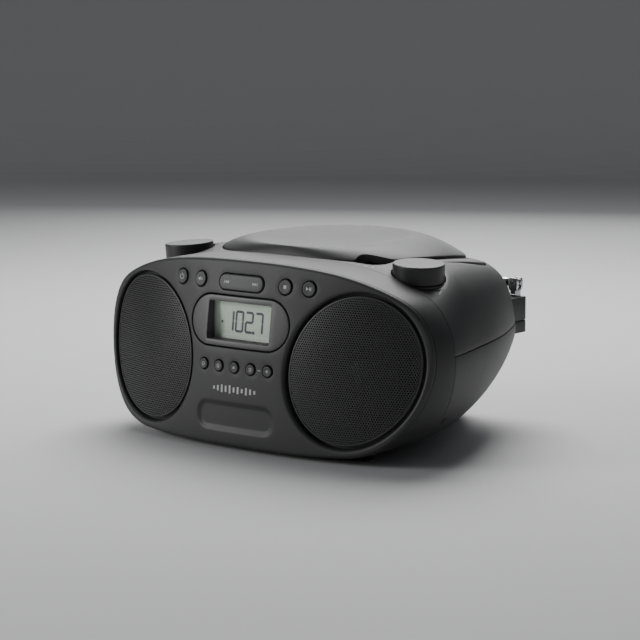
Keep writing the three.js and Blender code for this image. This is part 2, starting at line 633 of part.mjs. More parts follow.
// ---------------------------------------------------------------- knobs
for (const [side, knob, control] of [[-1, "volume_knob", "volume_pot"], [1, "tuning_knob", "tuning_encoder"]]) {
  const place = new THREE.Group();
  place.applyMatrix4(knobPlace(side));
  boombox.add(place);
  const shaftTop = KNOB_SEAT + 8;
  add(knob, turned([
    [0, 0], [KNOB_RADIUS - 1.2, 0], [KNOB_RADIUS - 0.3, -0.4], [KNOB_RADIUS, -1.4],
    [KNOB_RADIUS, -KNOB_HEIGHT], [KNOB_SHAFT + RUN, -KNOB_HEIGHT], [KNOB_SHAFT + 0.3, -KNOB_HEIGHT],
    [KNOB_SHAFT + 0.3, shaftTop + GAP], [0, shaftTop + GAP],
  ], 32), PLASTIC, place);
  add(control, turned([
    [0, shaftTop], [KNOB_SHAFT, shaftTop], [KNOB_SHAFT, KNOB_SEAT - WALL - 1.2],
    [8, KNOB_SEAT - WALL - 1.2], [8, KNOB_SEAT - WALL - 10], [0, KNOB_SEAT - WALL - 10],
  ], 24), STEEL, place);
}

// ---------------------------------------------------------------- lid and disc drive
const [dishRadius, dishY, dishLow] = LID_DISH;
const RIM_AT = 0.66; // where the dish begins, as a share of the way out to the edge
function lidRings(shares, sink, shrink) {
  const edge = lidRing(-shrink);
  return shares.map((s) => edge.map(([ex, ey], i) => {
    const angle = (2 * Math.PI * i) / edge.length;
    const [rx, ry] = [dishRadius * Math.cos(angle), dishY + dishRadius * Math.sin(angle)];
    const rimZ = RIM_Z + RIM_SLOPE * (ry - dishY);
    const edgeZ = topAt(ex, ey) + LID_PROUD;
    if (s <= RIM_AT) {
      const q = s / RIM_AT;
      return [rx * q, dishY + (ry - dishY) * q, dishLow + (rimZ - dishLow) * q ** 2.6 - sink];
    }
    const q = (s - RIM_AT) / (1 - RIM_AT);
    const z = edgeZ + (rimZ - edgeZ) * Math.cos((q * Math.PI) / 2) ** 0.9;
    return [rx + (ex - rx) * q, ry + (ey - ry) * q, z - sink];
  }));
}
const SHARES = [0.25, 0.5, 0.62, 0.7, 0.8, 0.9, 0.97, 1];
const lidTop = lidRings(SHARES, 0, 0);
const lidUnder = lidRings(SHARES, WALL, WALL).reverse();
const dropped = (ring, by) => ring.map(([x, y, z]) => [x, y, z - by]);
const lidShell = loft([
  ...lidTop, dropped(lidTop.at(-1), LID_SKIRT), dropped(lidUnder[0], LID_SKIRT - WALL), ...lidUnder,
]);
const lidUnderZ = dishLow - WALL;
add("lid", cut(
  join(
    cut(lidShell, notch),
    rod(9, [0, LID_CENTRE_Y, lidUnderZ - 6], [0, LID_CENTRE_Y, lidUnderZ + 1.5]),
    hingeLine(3, -HINGE_HALF + 7, HINGE_HALF - 7),
  ),
  rod(4.6, [0, LID_CENTRE_Y, lidUnderZ - 10], [0, LID_CENTRE_Y, lidUnderZ - 1]),
  hingeLine(HINGE_RADIUS + 0.2, -60, 60),
  ...hingeLugs(1.6),
), PLASTIC);

const wellRadius = DISC_RADIUS + 2.5;
const deckTop = DECK_Z + 5;
const deckUnder = DECK_Z - DECK_THICK;
const deckPlan = (shrink) => polygon(lidRing(LID_RUN - GAP - shrink));
const aboutDisc = (radius, z0, z1, sides = 36) =>
  rod(radius, [0, LID_CENTRE_Y, z0], [0, LID_CENTRE_Y, z1], sides);
const lensNear = LID_CENTRE_Y - 23; // the laser's place under the first track
const slot = box(-7, 7, lensNear - SLED_TRAVEL - 6, lensNear + 6, 0, 100);
add("disc_deck", cut(
  cut(slab(deckPlan(0), deckUnder, deckTop), aboutDisc(wellRadius, DECK_Z, 100)),
  cut(slab(deckPlan(WALL), 0, deckTop - DECK_THICK), aboutDisc(wellRadius + WALL, -1, 100)),
  aboutDisc(HUB_RADIUS + 1.5, 0, 100, 24),
  slot,
  box(-HINGE_HALF - 2, HINGE_HALF + 2, HINGE_Y - 5, HINGE_Y + 20, 0, 100),
), PLASTIC);

add("turntable_hub", turned([
  [0, 5.5], [5, 5.5], [7.3, 4], [7.3, 1.9], [HUB_RADIUS, 1.9], [HUB_RADIUS, 0.5], [3, 0.5],
  [3, -3], [0, -3],
]).translate(0, LID_CENTRE_Y, DECK_Z), GLOSS);
const motorTop = DECK_Z - 3 - GAP;
add("spindle_motor", aboutDisc(12, motorTop - 14, motorTop, 24), STEEL);
add("disc_clamp", turned([
  [0, lidUnderZ - 2], [4, lidUnderZ - 2], [4, lidUnderZ - 6 - RUN], [HUB_RADIUS - 1, lidUnderZ - 6 - RUN],
  [HUB_RADIUS - 1, DECK_Z + 8.2], [8.5, DECK_Z + 6.6], [0, DECK_Z + 6.6],
]).translate(0, LID_CENTRE_Y, 0), GLOSS);

const rodZ = motorTop - 7;
const chassisZ = motorTop - 14 - GAP;
const rodFront = lensNear - SLED_TRAVEL - 16;
const rodBack = lensNear + 14;
const rodBlock = (side, y) =>
  box(side * ROD_X - 3.5, side * ROD_X + 3.5, y - 4, y + 4, chassisZ - 0.5, rodZ + 4);
add("drive_chassis", cut(
  join(
    box(-24, 24, rodFront - 4, LID_CENTRE_Y + 14, chassisZ - 2, chassisZ),
    ...SIDES.flatMap(([side]) => [rodBlock(side, rodFront), rodBlock(side, rodBack)]),
  ),
  ...SIDES.map(([side]) =>
    rod(ROD_RADIUS + 0.3, [side * ROD_X, rodFront - 1, rodZ], [side * ROD_X, rodBack + 1, rodZ], 12)),
), PLASTIC);
for (const [side, word] of SIDES)
  add(word + "_guide_rod",
    rod(ROD_RADIUS, [side * ROD_X, rodFront - 0.6, rodZ], [side * ROD_X, rodBack + 0.6, rodZ], 12), STEEL);
add("laser_sled", cut(
  join(
    box(-ROD_X - 4, ROD_X + 4, lensNear - 9, lensNear + 8, rodZ - 3.5, rodZ + 3.5),
    rod(3.5, [0, lensNear, rodZ], [0, lensNear, DECK_Z - 0.6], 16),
  ),
  ...SIDES.map(([side]) =>
    rod(ROD_RADIUS + 0.3, [side * ROD_X, 0, rodZ], [side * ROD_X, 200, rodZ], 12)),
), GLOSS);

add("lid_hinge_pin", hingeLine(HINGE_RADIUS - 0.15, -HINGE_HALF, HINGE_HALF, 12), STEEL);

// ---------------------------------------------------------------- handle
add("handle", cut(crescent(0, HANDLE_TOP - HANDLE_THICK, HANDLE_TOP), ...handlePinHoles), PLASTIC);
for (const [side, word] of SIDES)
  add(word + "_handle_pin", rod(PIN_RADIUS - 0.25, [side * (LID_HALF[0] + 5), HANDLE_PIVOT_Y, HANDLE_PIVOT_Z],
    [side * (HANDLE_HALF[0] + 8), HANDLE_PIVOT_Y, HANDLE_PIVOT_Z], 12), STEEL);

// ---------------------------------------------------------------- power, boards, feet
add("main_board", box(-84, 70, 70, 170, -20, -18.4), BOARD);
add("transformer", box(-106, -62, 80, 124, -17, 22), STEEL);
add("mains_inlet", cut(
  box(INLET[2] - INLET[0] / 2 + GAP, INLET[2] + INLET[0] / 2 - GAP, rearFace - 22, rearFace - 0.5,
    INLET[3] - INLET[1] / 2 + GAP, INLET[3] + INLET[1] / 2 - GAP),
  plate(stadium(INLET[0] - 7, INLET[1] - 8, INLET[2], INLET[3]), rearFace - 17, rearFace + 10),
), GLOSS);

const [doorWide, doorDeep, doorY] = DOOR;
add("battery_door", box(-doorWide / 2 + RUN, doorWide / 2 - RUN, doorY - doorDeep / 2 + RUN,
  doorY + doorDeep / 2 - RUN, UNDERSIDE_Z + 0.2, UNDERSIDE_Z + 0.2 + WALL), PLASTIC);
const bayWall = 2;
const bayRim = 4; // how far the tray reaches past the door all round
const [trayHalf, trayBack] = [doorWide / 2 + bayRim, doorY + doorDeep / 2 + bayRim];
const trayFoot = bottomAt(trayHalf, trayBack) + WALL + 2 * GAP; // clear of the belly where it rises most
add("battery_tray", cut(
  box(-trayHalf, trayHalf, doorY - doorDeep / 2 - bayRim, trayBack, trayFoot, UNDERSIDE_Z + BAY_HEIGHT),
  box(-doorWide / 2 + bayWall, doorWide / 2 - bayWall, doorY - doorDeep / 2 + bayWall,
    doorY + doorDeep / 2 - bayWall, -100, UNDERSIDE_Z + BAY_HEIGHT - bayWall),
), PLASTIC);

for (const [word, x, y] of FEET)
  add(word + "_foot", rod(FOOT_RADIUS, [x, y, FLOOR_Z], [x, y, UNDERSIDE_Z + FOOT_SINK - 0.6], 20), RUBBER);

// ---------------------------------------------------------------- antenna
const [mastX, mastY, mastZ] = mast;
const ledgeTop = LEDGE_Z + LEDGE[2];
add("antenna_base", turned([
  [0, ledgeTop - 7], [4, ledgeTop - 7], [4, ledgeTop + 1.2], [0, ledgeTop + 1.2],
], 20).translate(mastX, mastY, 0), CHROME);
add("antenna_yoke", cut(
  join(
    rod(4, [mastX, mastY, ledgeTop + 1.5], [mastX, mastY, ledgeTop + 4.5], 20),
    box(mastX - 3.8, mastX + 3.8, mastY - 4, mastY + 4, ledgeTop + 4, mastZ + 4),
  ),
  box(mastX - 10, mastX + 10, mastY - 1.9, mastY + 1.9, ledgeTop + 5.2, 100),
  rod(1.3, [mastX, mastY - 10, mastZ], [mastX, mastY + 10, mastZ], 12),
), CHROME);
MAST_RADII.forEach((radius, i) => {
  const start = mastX - 6.4 - 5 * i;
  const end = mastX - MAST_LENGTH - 2.5 * i;
  const along = (r, from, to) => rod(r, [from, mastY, mastZ], [to, mastY, mastZ], 16);
  const tube = along(radius, start, end);
  const last = i + 1 === MAST_RADII.length;
  const section = last
    ? join(tube, along(MAST_RADII[0], end + 0.5, end - 4))
    : cut(tube, along(MAST_RADII[i + 1] + 0.25, start - 4, end - 5));
  const eye = cut(
    box(mastX - 8, mastX + 2.6, mastY - 1.5, mastY + 1.5, mastZ - 2.6, mastZ + 2.6),
    rod(1.3, [mastX, mastY - 10, mastZ], [mastX, mastY + 10, mastZ], 12),
  );
  add("antenna_section_" + (i + 1), i === 0 ? join(section, eye) : section, CHROME);
});
add("antenna_pin", rod(1, [mastX, mastY - 4, mastZ], [mastX, mastY + 4, mastZ], 12), STEEL);

// ---------------------------------------------------------------- origin under the middle
const bounds = new THREE.Box3().setFromObject(boombox, true);
boombox.position.set(
  -(bounds.min.x + bounds.max.x) / 2, -(bounds.min.y + bounds.max.y) / 2, -bounds.min.z,
);

export default boombox;
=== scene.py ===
"""Looks of a portable disc player with a carry handle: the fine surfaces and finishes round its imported
CAD frame."""

import math

import bmesh
import bpy
import numpy as np
from bpy.props import FloatProperty, FloatVectorProperty, IntProperty, PointerProperty
from mathutils import Matrix, Vector
from mathutils.geometry import delaunay_2d_cdt


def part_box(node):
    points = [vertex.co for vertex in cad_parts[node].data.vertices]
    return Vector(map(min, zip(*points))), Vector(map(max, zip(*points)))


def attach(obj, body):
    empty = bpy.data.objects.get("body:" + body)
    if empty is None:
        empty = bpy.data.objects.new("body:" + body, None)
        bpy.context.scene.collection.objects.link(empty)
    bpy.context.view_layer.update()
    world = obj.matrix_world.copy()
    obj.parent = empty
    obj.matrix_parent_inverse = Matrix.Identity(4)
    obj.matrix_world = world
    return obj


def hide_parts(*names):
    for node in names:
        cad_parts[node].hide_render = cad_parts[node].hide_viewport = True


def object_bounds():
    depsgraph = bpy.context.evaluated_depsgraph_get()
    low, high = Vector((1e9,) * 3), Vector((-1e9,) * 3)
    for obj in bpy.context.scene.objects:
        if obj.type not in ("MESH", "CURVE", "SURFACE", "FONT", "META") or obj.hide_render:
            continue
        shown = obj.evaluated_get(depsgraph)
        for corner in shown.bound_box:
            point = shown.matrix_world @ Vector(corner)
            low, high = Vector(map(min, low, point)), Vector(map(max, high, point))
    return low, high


bl_info = {
    "name": "Portable disc player",
    "version": (1, 0, 0),
    "blender": (4, 5, 0),
    "location": "View3D > Sidebar > Disc player",
    "description": "Builds the mouldings, metalwork and finishes of a portable disc player around its frame",
    "category": "Object",
}

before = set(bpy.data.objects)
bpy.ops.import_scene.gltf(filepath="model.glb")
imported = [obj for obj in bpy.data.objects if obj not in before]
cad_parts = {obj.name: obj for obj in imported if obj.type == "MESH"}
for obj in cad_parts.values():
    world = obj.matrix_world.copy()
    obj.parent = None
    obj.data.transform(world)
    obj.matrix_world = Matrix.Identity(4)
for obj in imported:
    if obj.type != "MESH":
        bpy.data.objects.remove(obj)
CAD_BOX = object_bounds()
MM = 0.001

# Layout, in millimetres from the middle of the front panel at the height of the loudspeaker centres:
# X to the right, Y to the back, Z up.
WALL = 2.6
GAP = 0.4
FRONT_HALF_WIDTH = 143.5
SEAM_HALF_WIDTH = FRONT_HALF_WIDTH + 2.8
SEAM_Y = 50.0
SPLIT_Z = 10.9
CASE_LENGTH = 164.0
SHOULDER_RUN = 44.0
TOP_FALL = 0.34
BELLY_RISE = 0.68
BACK_TURN = 0.12  # share of the case's length over which its sides turn into its back
BACK_DRAW = 9.0  # and how far they draw in there
BACK_ARC = 24.0  # length of that turn along the surface
FLOOR_Z = -62.5

BOW_X = 0.001446
LEAN = 0.0881
BOW_Z = 0.000985
BOW_CORNERS = -1.1e-7

SPEAKER_X = 89.5
SPEAKER_OPENING = (47.2, 53.2)
SPEAKER_TILT = 0.5
GRILLE_INSET = 3.6
GRILLE_SETBACK = 2.2
GRILLE_SPREAD = 1.3  # how far the visible sheet reaches over the frame sheet's edge
GRILLE_CROWN = 2.0
CONE_RADIUS = 33.0

BUTTON_RADIUS = 5.0
BUTTON_Z = 52.0
BUTTON_X = (37.4, 56.1)
KEY_RADIUS = 3.65
KEY_Z = -4.8
KEY_PITCH = 14.1
RUN = 0.6
ROCKER_SIZE = (39.0, 10.5)
DISPLAY_SIZE = (87.0, 35.7)
DISPLAY_Z = 25.5
WINDOW_SIZE = (55.0, 26.1)
WINDOW_DEPTH = 4.0
DISH_SIZE = (65.4, 17.5)
DISH_Z = -39.0
DISH_DEPTH = 1.5

KNOB_RADIUS = 17.5
KNOB_HEIGHT = 12.4
KNOB_AT = (102.8, 68.8, 67.6)
KNOB_LEAN = (0.05, 0.063)
KNOB_POCKET = KNOB_RADIUS + 0.9
KNOB_SEAT = -KNOB_HEIGHT - RUN

LID_CENTRE_Y = 119.0
LID_HALF = (86.0, 68.0)
LID_POWER = 2.7
LID_PROUD = 0.6
LID_RUN = 0.8
LID_SKIRT = 5.0
RIM_Z = 75.8
RIM_SLOPE = 0.042
RIM_FRONT = 0.9  # the rim is drawn in a little in front, so that the lid still slopes there
RIM_AT = 0.66
LID_DISH = (56.0, 105.0, 71.4)
HINGE_Y = 183.8
HINGE_Z = 58.2
HINGE_HALF = 40.0

HANDLE_HALF = (97.0, 88.0)
HANDLE_POWER = 2.5
HANDLE_PIVOT_Y = 100.0
HANDLE_PIVOT_Z = 59.5
HANDLE_THICK = 9.0
HANDLE_CLEAR = 1.6
HANDLE_EDGE = 2.6

DISC_RADIUS = 60.0
DECK_Z = 50.0
DECK_TOP = DECK_Z + 5
DECK_THICK = 2.4

LEDGE = (88.0, 8.0, 26.0)
LEDGE_Z = 2.0
LEDGE_TOP = LEDGE_Z + LEDGE[2]
MAST_RADII = (3.2, 2.6, 2.0, 1.4)
MAST_LENGTH = 150.0
MAST_X = 80.0
MAST_Z = 37.5
HUB_RADIUS = 15.0
SLED_TRAVEL = 34.0
FOOT_RADIUS = 8.0
FEET = (("front_left_foot", -82, 34), ("front_right_foot", 82, 34), ("rear_left_foot", -44, 186),
        ("rear_right_foot", 44, 186))
DOOR = (110.0, 70.0, 106.0)
INLET = (26.0, 18.0, -30.0, -32.0)
REAR_FACE = SEAM_Y + CASE_LENGTH
MAST_Y = REAR_FACE + LEDGE[1] / 2 + 0.8
FRONT_KEYS = (
    (0, 67.2), (45, 65.9), (80, 61.8), (108, 53.8), (129, 43), (140, 27), (143.5, 10),
    (141.3, -9), (133, -29), (118, -46.5), (100, -55.4), (70, -58.5), (0, -59.2),
)
SEAM_KEYS = (
    (0, 67.4), (45, 66.2), (80, 62.4), (108, 54.8), (130, 44.5), (142, 28.5), (146.3, 10.9),
    (145, -9), (138, -28), (124.5, -44), (104, -54.5), (70, -59), (0, -59.6),
)
SHOULDER_KEYS = (
    (0, 68.4), (52, 68.2), (92, 66.8), (110, 63.6), (124.5, 56.5), (137, 43), (146.3, 10.9),
    (145, -9), (138, -28), (124.5, -44), (104, -54.5), (70, -59), (0, -59.6),
)


def middle_of(node):
    low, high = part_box(node)
    return (np.array(low) + np.array(high)) / 2


ORIGIN = middle_of("lid_hinge_pin") - np.array([0, HINGE_Y, HINGE_Z]) * MM


# ---------------------------------------------------------------- sizes and colours a user may change
class DiscPlayerSizes(bpy.types.PropertyGroup):
    panel_step: FloatProperty(
        name="Panel mesh step", description="Spacing of the points that fill the moulded skins",
        default=3.0 * MM, min=1 * MM, max=10 * MM, unit="LENGTH")
    speaker_lip: FloatProperty(
        name="Speaker lip", description="Radius of the rounded lip round each loudspeaker opening",
        default=2.4 * MM, min=0.5 * MM, max=4 * MM, unit="LENGTH")
    panel_edge: FloatProperty(
        name="Front panel edge", description="Radius of the rounded edge of the front panel",
        default=2.3 * MM, min=0.5 * MM, max=2.5 * MM, unit="LENGTH")
    seam_edge: FloatProperty(
        name="Seam edge", description="Radius of the small roll where two mouldings meet",
        default=0.35 * MM, min=0.1 * MM, max=1 * MM, unit="LENGTH")
    hole_pitch: FloatProperty(
        name="Grille hole pitch", description="Distance between neighbouring holes of the grilles",
        default=1.75 * MM, min=1.2 * MM, max=4 * MM, unit="LENGTH")
    hole_width: FloatProperty(
        name="Grille hole width", description="Width of each hole of the grilles",
        default=1.12 * MM, min=0.6 * MM, max=3 * MM, unit="LENGTH")
    digit_height: FloatProperty(
        name="Digit height", description="Height of the digits in the display",
        default=13.5 * MM, min=8 * MM, max=18 * MM, unit="LENGTH")


class DiscPlayerFinish(bpy.types.PropertyGroup):
    plastic: FloatVectorProperty(
        name="Case plastic", description="Colour of the moulded case", subtype="COLOR",
        size=3, default=(0.032, 0.032, 0.033), min=0, max=1)
    gloss: FloatVectorProperty(
        name="Display surround", description="Colour of the smoother plastic round the display",
                               subtype="COLOR",
        size=3, default=(0.06, 0.058, 0.06), min=0, max=1)
    print_ink: FloatVectorProperty(
        name="Printed marks", description="Colour of the printed symbols", subtype="COLOR",
        size=3, default=(0.55, 0.55, 0.55), min=0, max=1)
    lcd: FloatVectorProperty(
        name="Display glass", description="Colour of the liquid crystal panel", subtype="COLOR",
        size=3, default=(0.88, 0.95, 0.85), min=0, max=1)
    grain: FloatProperty(
        name="Grain", description="Size of the spark-eroded grain of the case",
        default=0.5 * MM, min=0.1 * MM, max=2 * MM, unit="LENGTH")


# ---------------------------------------------------------------- curves and outlines
def smooth(t):
    """Rises from 0 to 1 with level ends: 3t squared less 2t cubed."""
    t = np.clip(t, 0, 1)
    return t * t * (3 - 2 * t)


COUNT = 2048


def outline_curve(keys, half_width, at):
    """Closed outline through the right half's keys and their mirror images, from the top middle round by
    the right. Between two keys it is the cubic whose end slopes follow their neighbours, spaced by the
    root of their distance."""
    right = np.array(keys, float)
    right[:, 0] *= half_width / right[:, 0].max()
    p = np.vstack([right, right[-2:0:-1] * (-1, 1)])
    n = len(p)
    k = np.floor(at * n).astype(int)
    t = (at * n - k)[:, None]
    p0, p1, p2, p3 = (p[(k + d) % n] for d in (-1, 0, 1, 2))
    d0, d1, d2 = (np.linalg.norm(b - a, axis=1)[:, None] ** 0.5 for a, b in ((p0, p1), (p1, p2), (p2, p3)))
    m1 = ((p1 - p0) / d0 - (p2 - p0) / (d0 + d1) + (p2 - p1) / d1) * d1
    m2 = ((p2 - p1) / d1 - (p3 - p1) / (d1 + d2) + (p3 - p2) / d2) * d1
    return p1 + m1 * t + (3 * (p2 - p1) - 2 * m1 - m2) * t**2 + (2 * (p1 - p2) + m1 + m2) * t**3


def lengths(loop):
    """Distance travelled along a closed loop at each of its points, and its whole length."""
    steps = np.linalg.norm(np.roll(loop, -1, axis=0) - loop, axis=1)
    return np.concatenate([[0], np.cumsum(steps)])


def evenly(loop, count):
    """The same closed loop with its points at equal distances."""
    walked = lengths(loop)
    at = np.arange(count) * walked[-1] / count
    closed = np.vstack([loop, loop[:1]])
    return np.stack([np.interp(at, walked, closed[:, i]) for i in range(loop.shape[1])], axis=1)


def eased(loop, reach):
    """A closed loop of even points blurred along its length by a bell curve of that reach."""
    wave = np.fft.fft(loop[:, 0] + 1j * loop[:, 1])
    turns = np.fft.fftfreq(len(loop)) * len(loop)
    wave *= np.exp(-0.5 * (2 * np.pi * turns * reach / lengths(loop)[-1]) ** 2)
    back = np.fft.ifft(wave)
    return np.stack([back.real, back.imag], axis=1)


def even_shares():
    """Where along the seam's keys its points lie at equal distances."""
    at = np.arange(COUNT) / COUNT
    walked = lengths(outline_curve(SEAM_KEYS, SEAM_HALF_WIDTH, at))
    return np.interp(np.arange(COUNT) / COUNT * walked[-1], walked, np.append(at, 1.0))


EASE = 5.0
SHARES = even_shares()
FRONT_RING, SEAM_RING, SHOULDER_RING = (
    eased(outline_curve(keys, half, SHARES), EASE)
    for keys, half in ((FRONT_KEYS, FRONT_HALF_WIDTH), (SEAM_KEYS, SEAM_HALF_WIDTH),
                       (SHOULDER_KEYS, SEAM_HALF_WIDTH))
)
SEAM_LENGTH = lengths(SEAM_RING)[-1]
SPLIT_S = float(np.interp(-SPLIT_Z, -SEAM_RING[: COUNT // 2, 1], np.arange(COUNT // 2))) * SEAM_LENGTH / COUNT


def along(ring, s):
    """Point of an outline s millimetres along the seam."""
    i = np.mod(np.asarray(s, float) / SEAM_LENGTH, 1) * COUNT
    k = np.floor(i).astype(int)
    f = (i - k)[..., None]
    return ring[k % COUNT] * (1 - f) + ring[(k + 1) % COUNT] * f


def bow(x, z):
    return BOW_X * x * x + LEAN * z + BOW_Z * z * z + BOW_CORNERS * x * x * z * z


def on_panel(x, z, depth):
    """The front panel bows back with the square of x and leans back with z."""
    return np.stack([x, bow(x, z) + depth, z], axis=-1)


def section(s, t):
    """Cross-section of the case at share t of its length: the seam swells into fuller shoulders, then
    narrows, its top falls with the fourth power of t and the sides of its belly rise with t to the
    1.85."""
    seam, shoulder = along(SEAM_RING, s), along(SHOULDER_RING, s)
    p = seam + (shoulder - seam) * smooth(t * CASE_LENGTH / SHOULDER_RUN)[..., None]
    x, dz = p[..., 0], p[..., 1] - SPLIT_Z
    side = smooth((np.abs(x) / SEAM_HALF_WIDTH - 0.42) / 0.45)
    share = np.where(dz > 0, 1 - TOP_FALL * np.abs(t) ** 4, 1 - BELLY_RISE * np.abs(t) ** 1.85 * side)
    return np.stack([x * (1 - 0.135 * t - 0.285 * t * t), SPLIT_Z + dz * share], axis=-1)


STRAIGHT = (1 - BACK_TURN) * CASE_LENGTH


def case_skin(s, v):
    """Point of the rear case: s runs round the section, v from the seam to the back, where it turns a
    quarter oval."""
    s, v = np.broadcast_arrays(np.asarray(s, float), np.asarray(v, float))
    turn = np.clip((v - STRAIGHT) / BACK_ARC, 0, 1) * np.pi / 2
    t = np.minimum(v, STRAIGHT) / CASE_LENGTH + BACK_TURN * np.sin(turn)
    p = section(s, t)
    d = section(s + 0.5, t) - section(s - 0.5, t)
    d /= np.linalg.norm(d, axis=-1, keepdims=True)
    p = p - np.stack([-d[..., 1], d[..., 0]], axis=-1) * (BACK_DRAW * (1 - np.cos(turn)))[..., None]
    return np.stack([p[..., 0], SEAM_Y + t * CASE_LENGTH, p[..., 1]], axis=-1)


def on_case(s, v, depth):
    """The same, sunk by a depth square to the surface."""
    along_s = case_skin(s + 0.5, v) - case_skin(s - 0.5, v)
    along_v = case_skin(s, v + 0.5) - case_skin(s, v - 0.5)
    normal = np.cross(along_s, along_v)
    normal /= np.linalg.norm(normal, axis=-1, keepdims=True)
    return case_skin(s, v) - normal * np.asarray(depth, float)[..., None]


def case_place(x, y, under=False):
    """s and v of the case's top, or of its underside, over a point in plan, found by halving."""
    x, y = np.broadcast_arrays(np.asarray(x, float), np.asarray(y, float))
    t = (y - SEAM_Y) / CASE_LENGTH
    turned = np.arcsin(np.clip((t - 1 + BACK_TURN) / BACK_TURN, 0, 1)) * BACK_ARC / (np.pi / 2)
    v = np.minimum(y - SEAM_Y, STRAIGHT) + turned
    low, high = (np.full(x.shape, SPLIT_S), np.full(x.shape, SEAM_LENGTH / 2)) if under else (
        np.zeros(x.shape), np.full(x.shape, SPLIT_S))
    for _ in range(32):
        mid = (low + high) / 2
        beyond = case_skin(mid, v)[..., 0] > np.abs(x)
        beyond = ~beyond if under else beyond
        low, high = np.where(beyond, low, mid), np.where(beyond, mid, high)
    s = (low + high) / 2 * np.sign(x)
    return (np.where(s > 0, s, SEAM_LENGTH + s) if under else s), v


def top_z(x, y):
    """Height of the case's top over a point in plan."""
    return case_skin(*case_place(x, y))[..., 2]


def normals_of(loop):
    """Unit vectors square to a closed loop, pointing out of it."""
    d = np.roll(loop, -1, axis=0) - np.roll(loop, 1, axis=0)
    area = np.sum(loop[:, 0] * np.roll(loop[:, 1], -1) - loop[:, 1] * np.roll(loop[:, 0], -1))
    n = np.stack([d[:, 1], -d[:, 0]], axis=1) * np.sign(area)
    return n / np.maximum(np.linalg.norm(n, axis=1, keepdims=True), 1e-9)


def oval(a, b, x=0.0, y=0.0, turn=0.0, count=96):
    """Ellipse of half-axes a and b about x, y, turned."""
    angle = np.arange(count) * 2 * np.pi / count
    u, v = a * np.cos(angle), b * np.sin(angle)
    return np.stack([x + u * math.cos(turn) - v * math.sin(turn),
                     y + u * math.sin(turn) + v * math.cos(turn)], axis=1)


def rounded(width, height, radius, x=0.0, y=0.0, count=160):
    """Rectangle with round corners: four quarter circles joined by straight lines, its points evenly
    spaced."""
    quarter = np.linspace(0, np.pi / 2, 24)
    corners = [
        np.stack([x + sx * (width / 2 - radius) + radius * np.cos(quarter + turn),
                  y + sy * (height / 2 - radius) + radius * np.sin(quarter + turn)], axis=1)
        for sx, sy, turn in ((1, 1, 0), (-1, 1, np.pi / 2), (-1, -1, np.pi), (1, -1, 1.5 * np.pi))
    ]
    return evenly(np.vstack(corners), count)


def stadium(width, height, x=0.0, y=0.0, count=120):
    return rounded(width, height, height / 2 - 0.001, x, y, count)


def polyline(points, step=0.4):
    """Closed outline with straight sides, cut into short steps."""
    p = np.array(points, float)
    sides = np.linalg.norm(np.roll(p, -1, axis=0) - p, axis=1)
    parts = [a + (b - a) * np.linspace(0, 1, max(2, int(side / step) + 1))[:-1, None]
             for a, b, side in zip(p, np.roll(p, -1, axis=0), sides)]
    return np.vstack(parts)


def reach_of(half, power, angle, grow):
    """Distance from the lid's centre to a superellipse: |x/a| and |y/b| to the power p add up to 1."""
    a, b = half[0] + grow, half[1] + grow
    return (np.abs(np.cos(angle) / a) ** power + np.abs(np.sin(angle) / b) ** power) ** (-1 / power)


def lid_radius(angle, grow):
    return reach_of(LID_HALF, LID_POWER, angle, grow)


def half_width_at(half, power, y, grow=0.0):
    """Half the width of such an outline across a line of constant y."""
    share = abs(y - LID_CENTRE_Y) / (half[1] + grow)
    return (half[0] + grow) * (1 - share**power) ** (1 / power)


TIP_OUT = half_width_at(HANDLE_HALF, HANDLE_POWER, HANDLE_PIVOT_Y)
TIP_IN = half_width_at(LID_HALF, LID_POWER, HANDLE_PIVOT_Y, HANDLE_CLEAR)
HANDLE_TIP = (TIP_OUT - TIP_IN) / 2
HANDLE_PIVOT_X = (TIP_OUT + TIP_IN) / 2


def tip_reach(angle, radius, far):
    """Where a ray from the lid's centre meets the round tip of the handle, or nothing."""
    c = np.array([HANDLE_PIVOT_X, HANDLE_PIVOT_Y - LID_CENTRE_Y])
    across = np.abs(np.cos(angle)) * c[0] + np.sin(angle) * c[1]
    room = across**2 - c @ c + radius**2
    return np.where(room > 0, across + (1 if far else -1) * np.sqrt(np.maximum(room, 0)), np.nan)


def handle_outside(angle, grow):
    """Distance from the lid's centre to the outside of the handle: a superellipse behind the pivots,
    round tips."""
    pivot = math.atan2(HANDLE_PIVOT_Y - LID_CENTRE_Y, TIP_OUT)
    folded = np.arctan2(np.sin(angle), np.abs(np.cos(angle)))
    behind = np.where(folded > pivot, reach_of(HANDLE_HALF, HANDLE_POWER, angle, grow), np.nan)
    return np.fmax(behind, tip_reach(angle, HANDLE_TIP + grow, True))


def about_lid(angle, radius):
    return np.stack([radius * np.cos(angle), LID_CENTRE_Y + radius * np.sin(angle)], axis=-1)


NOTCH_ANGLE = math.atan2(67 - LID_CENTRE_Y, 67)
NOTCH_HALF = 14.0
WELL_BITE = 2.8  # how far the notch goes into the case
LID_BITE = 8.0  # and into the lid


def notch(angle, depth):
    """The thumb notch in the lid's edge: a raised-cosine bite of that depth."""
    off = np.abs(np.angle(np.exp(1j * (angle - NOTCH_ANGLE)))) * 84 / NOTCH_HALF
    return depth * (0.5 + 0.5 * np.cos(np.pi * np.clip(off, 0, 1))) ** 0.7


def well_outline(count=512):
    """Opening in the case for the lid and the handle together, about the lid's centre."""
    angle = np.arange(count) * 2 * np.pi / count
    lid = lid_radius(angle, LID_RUN) + notch(angle, WELL_BITE)
    radius = np.fmax(lid, handle_outside(angle, 1.4))
    return eased(evenly(about_lid(angle, radius), count), 0.7)


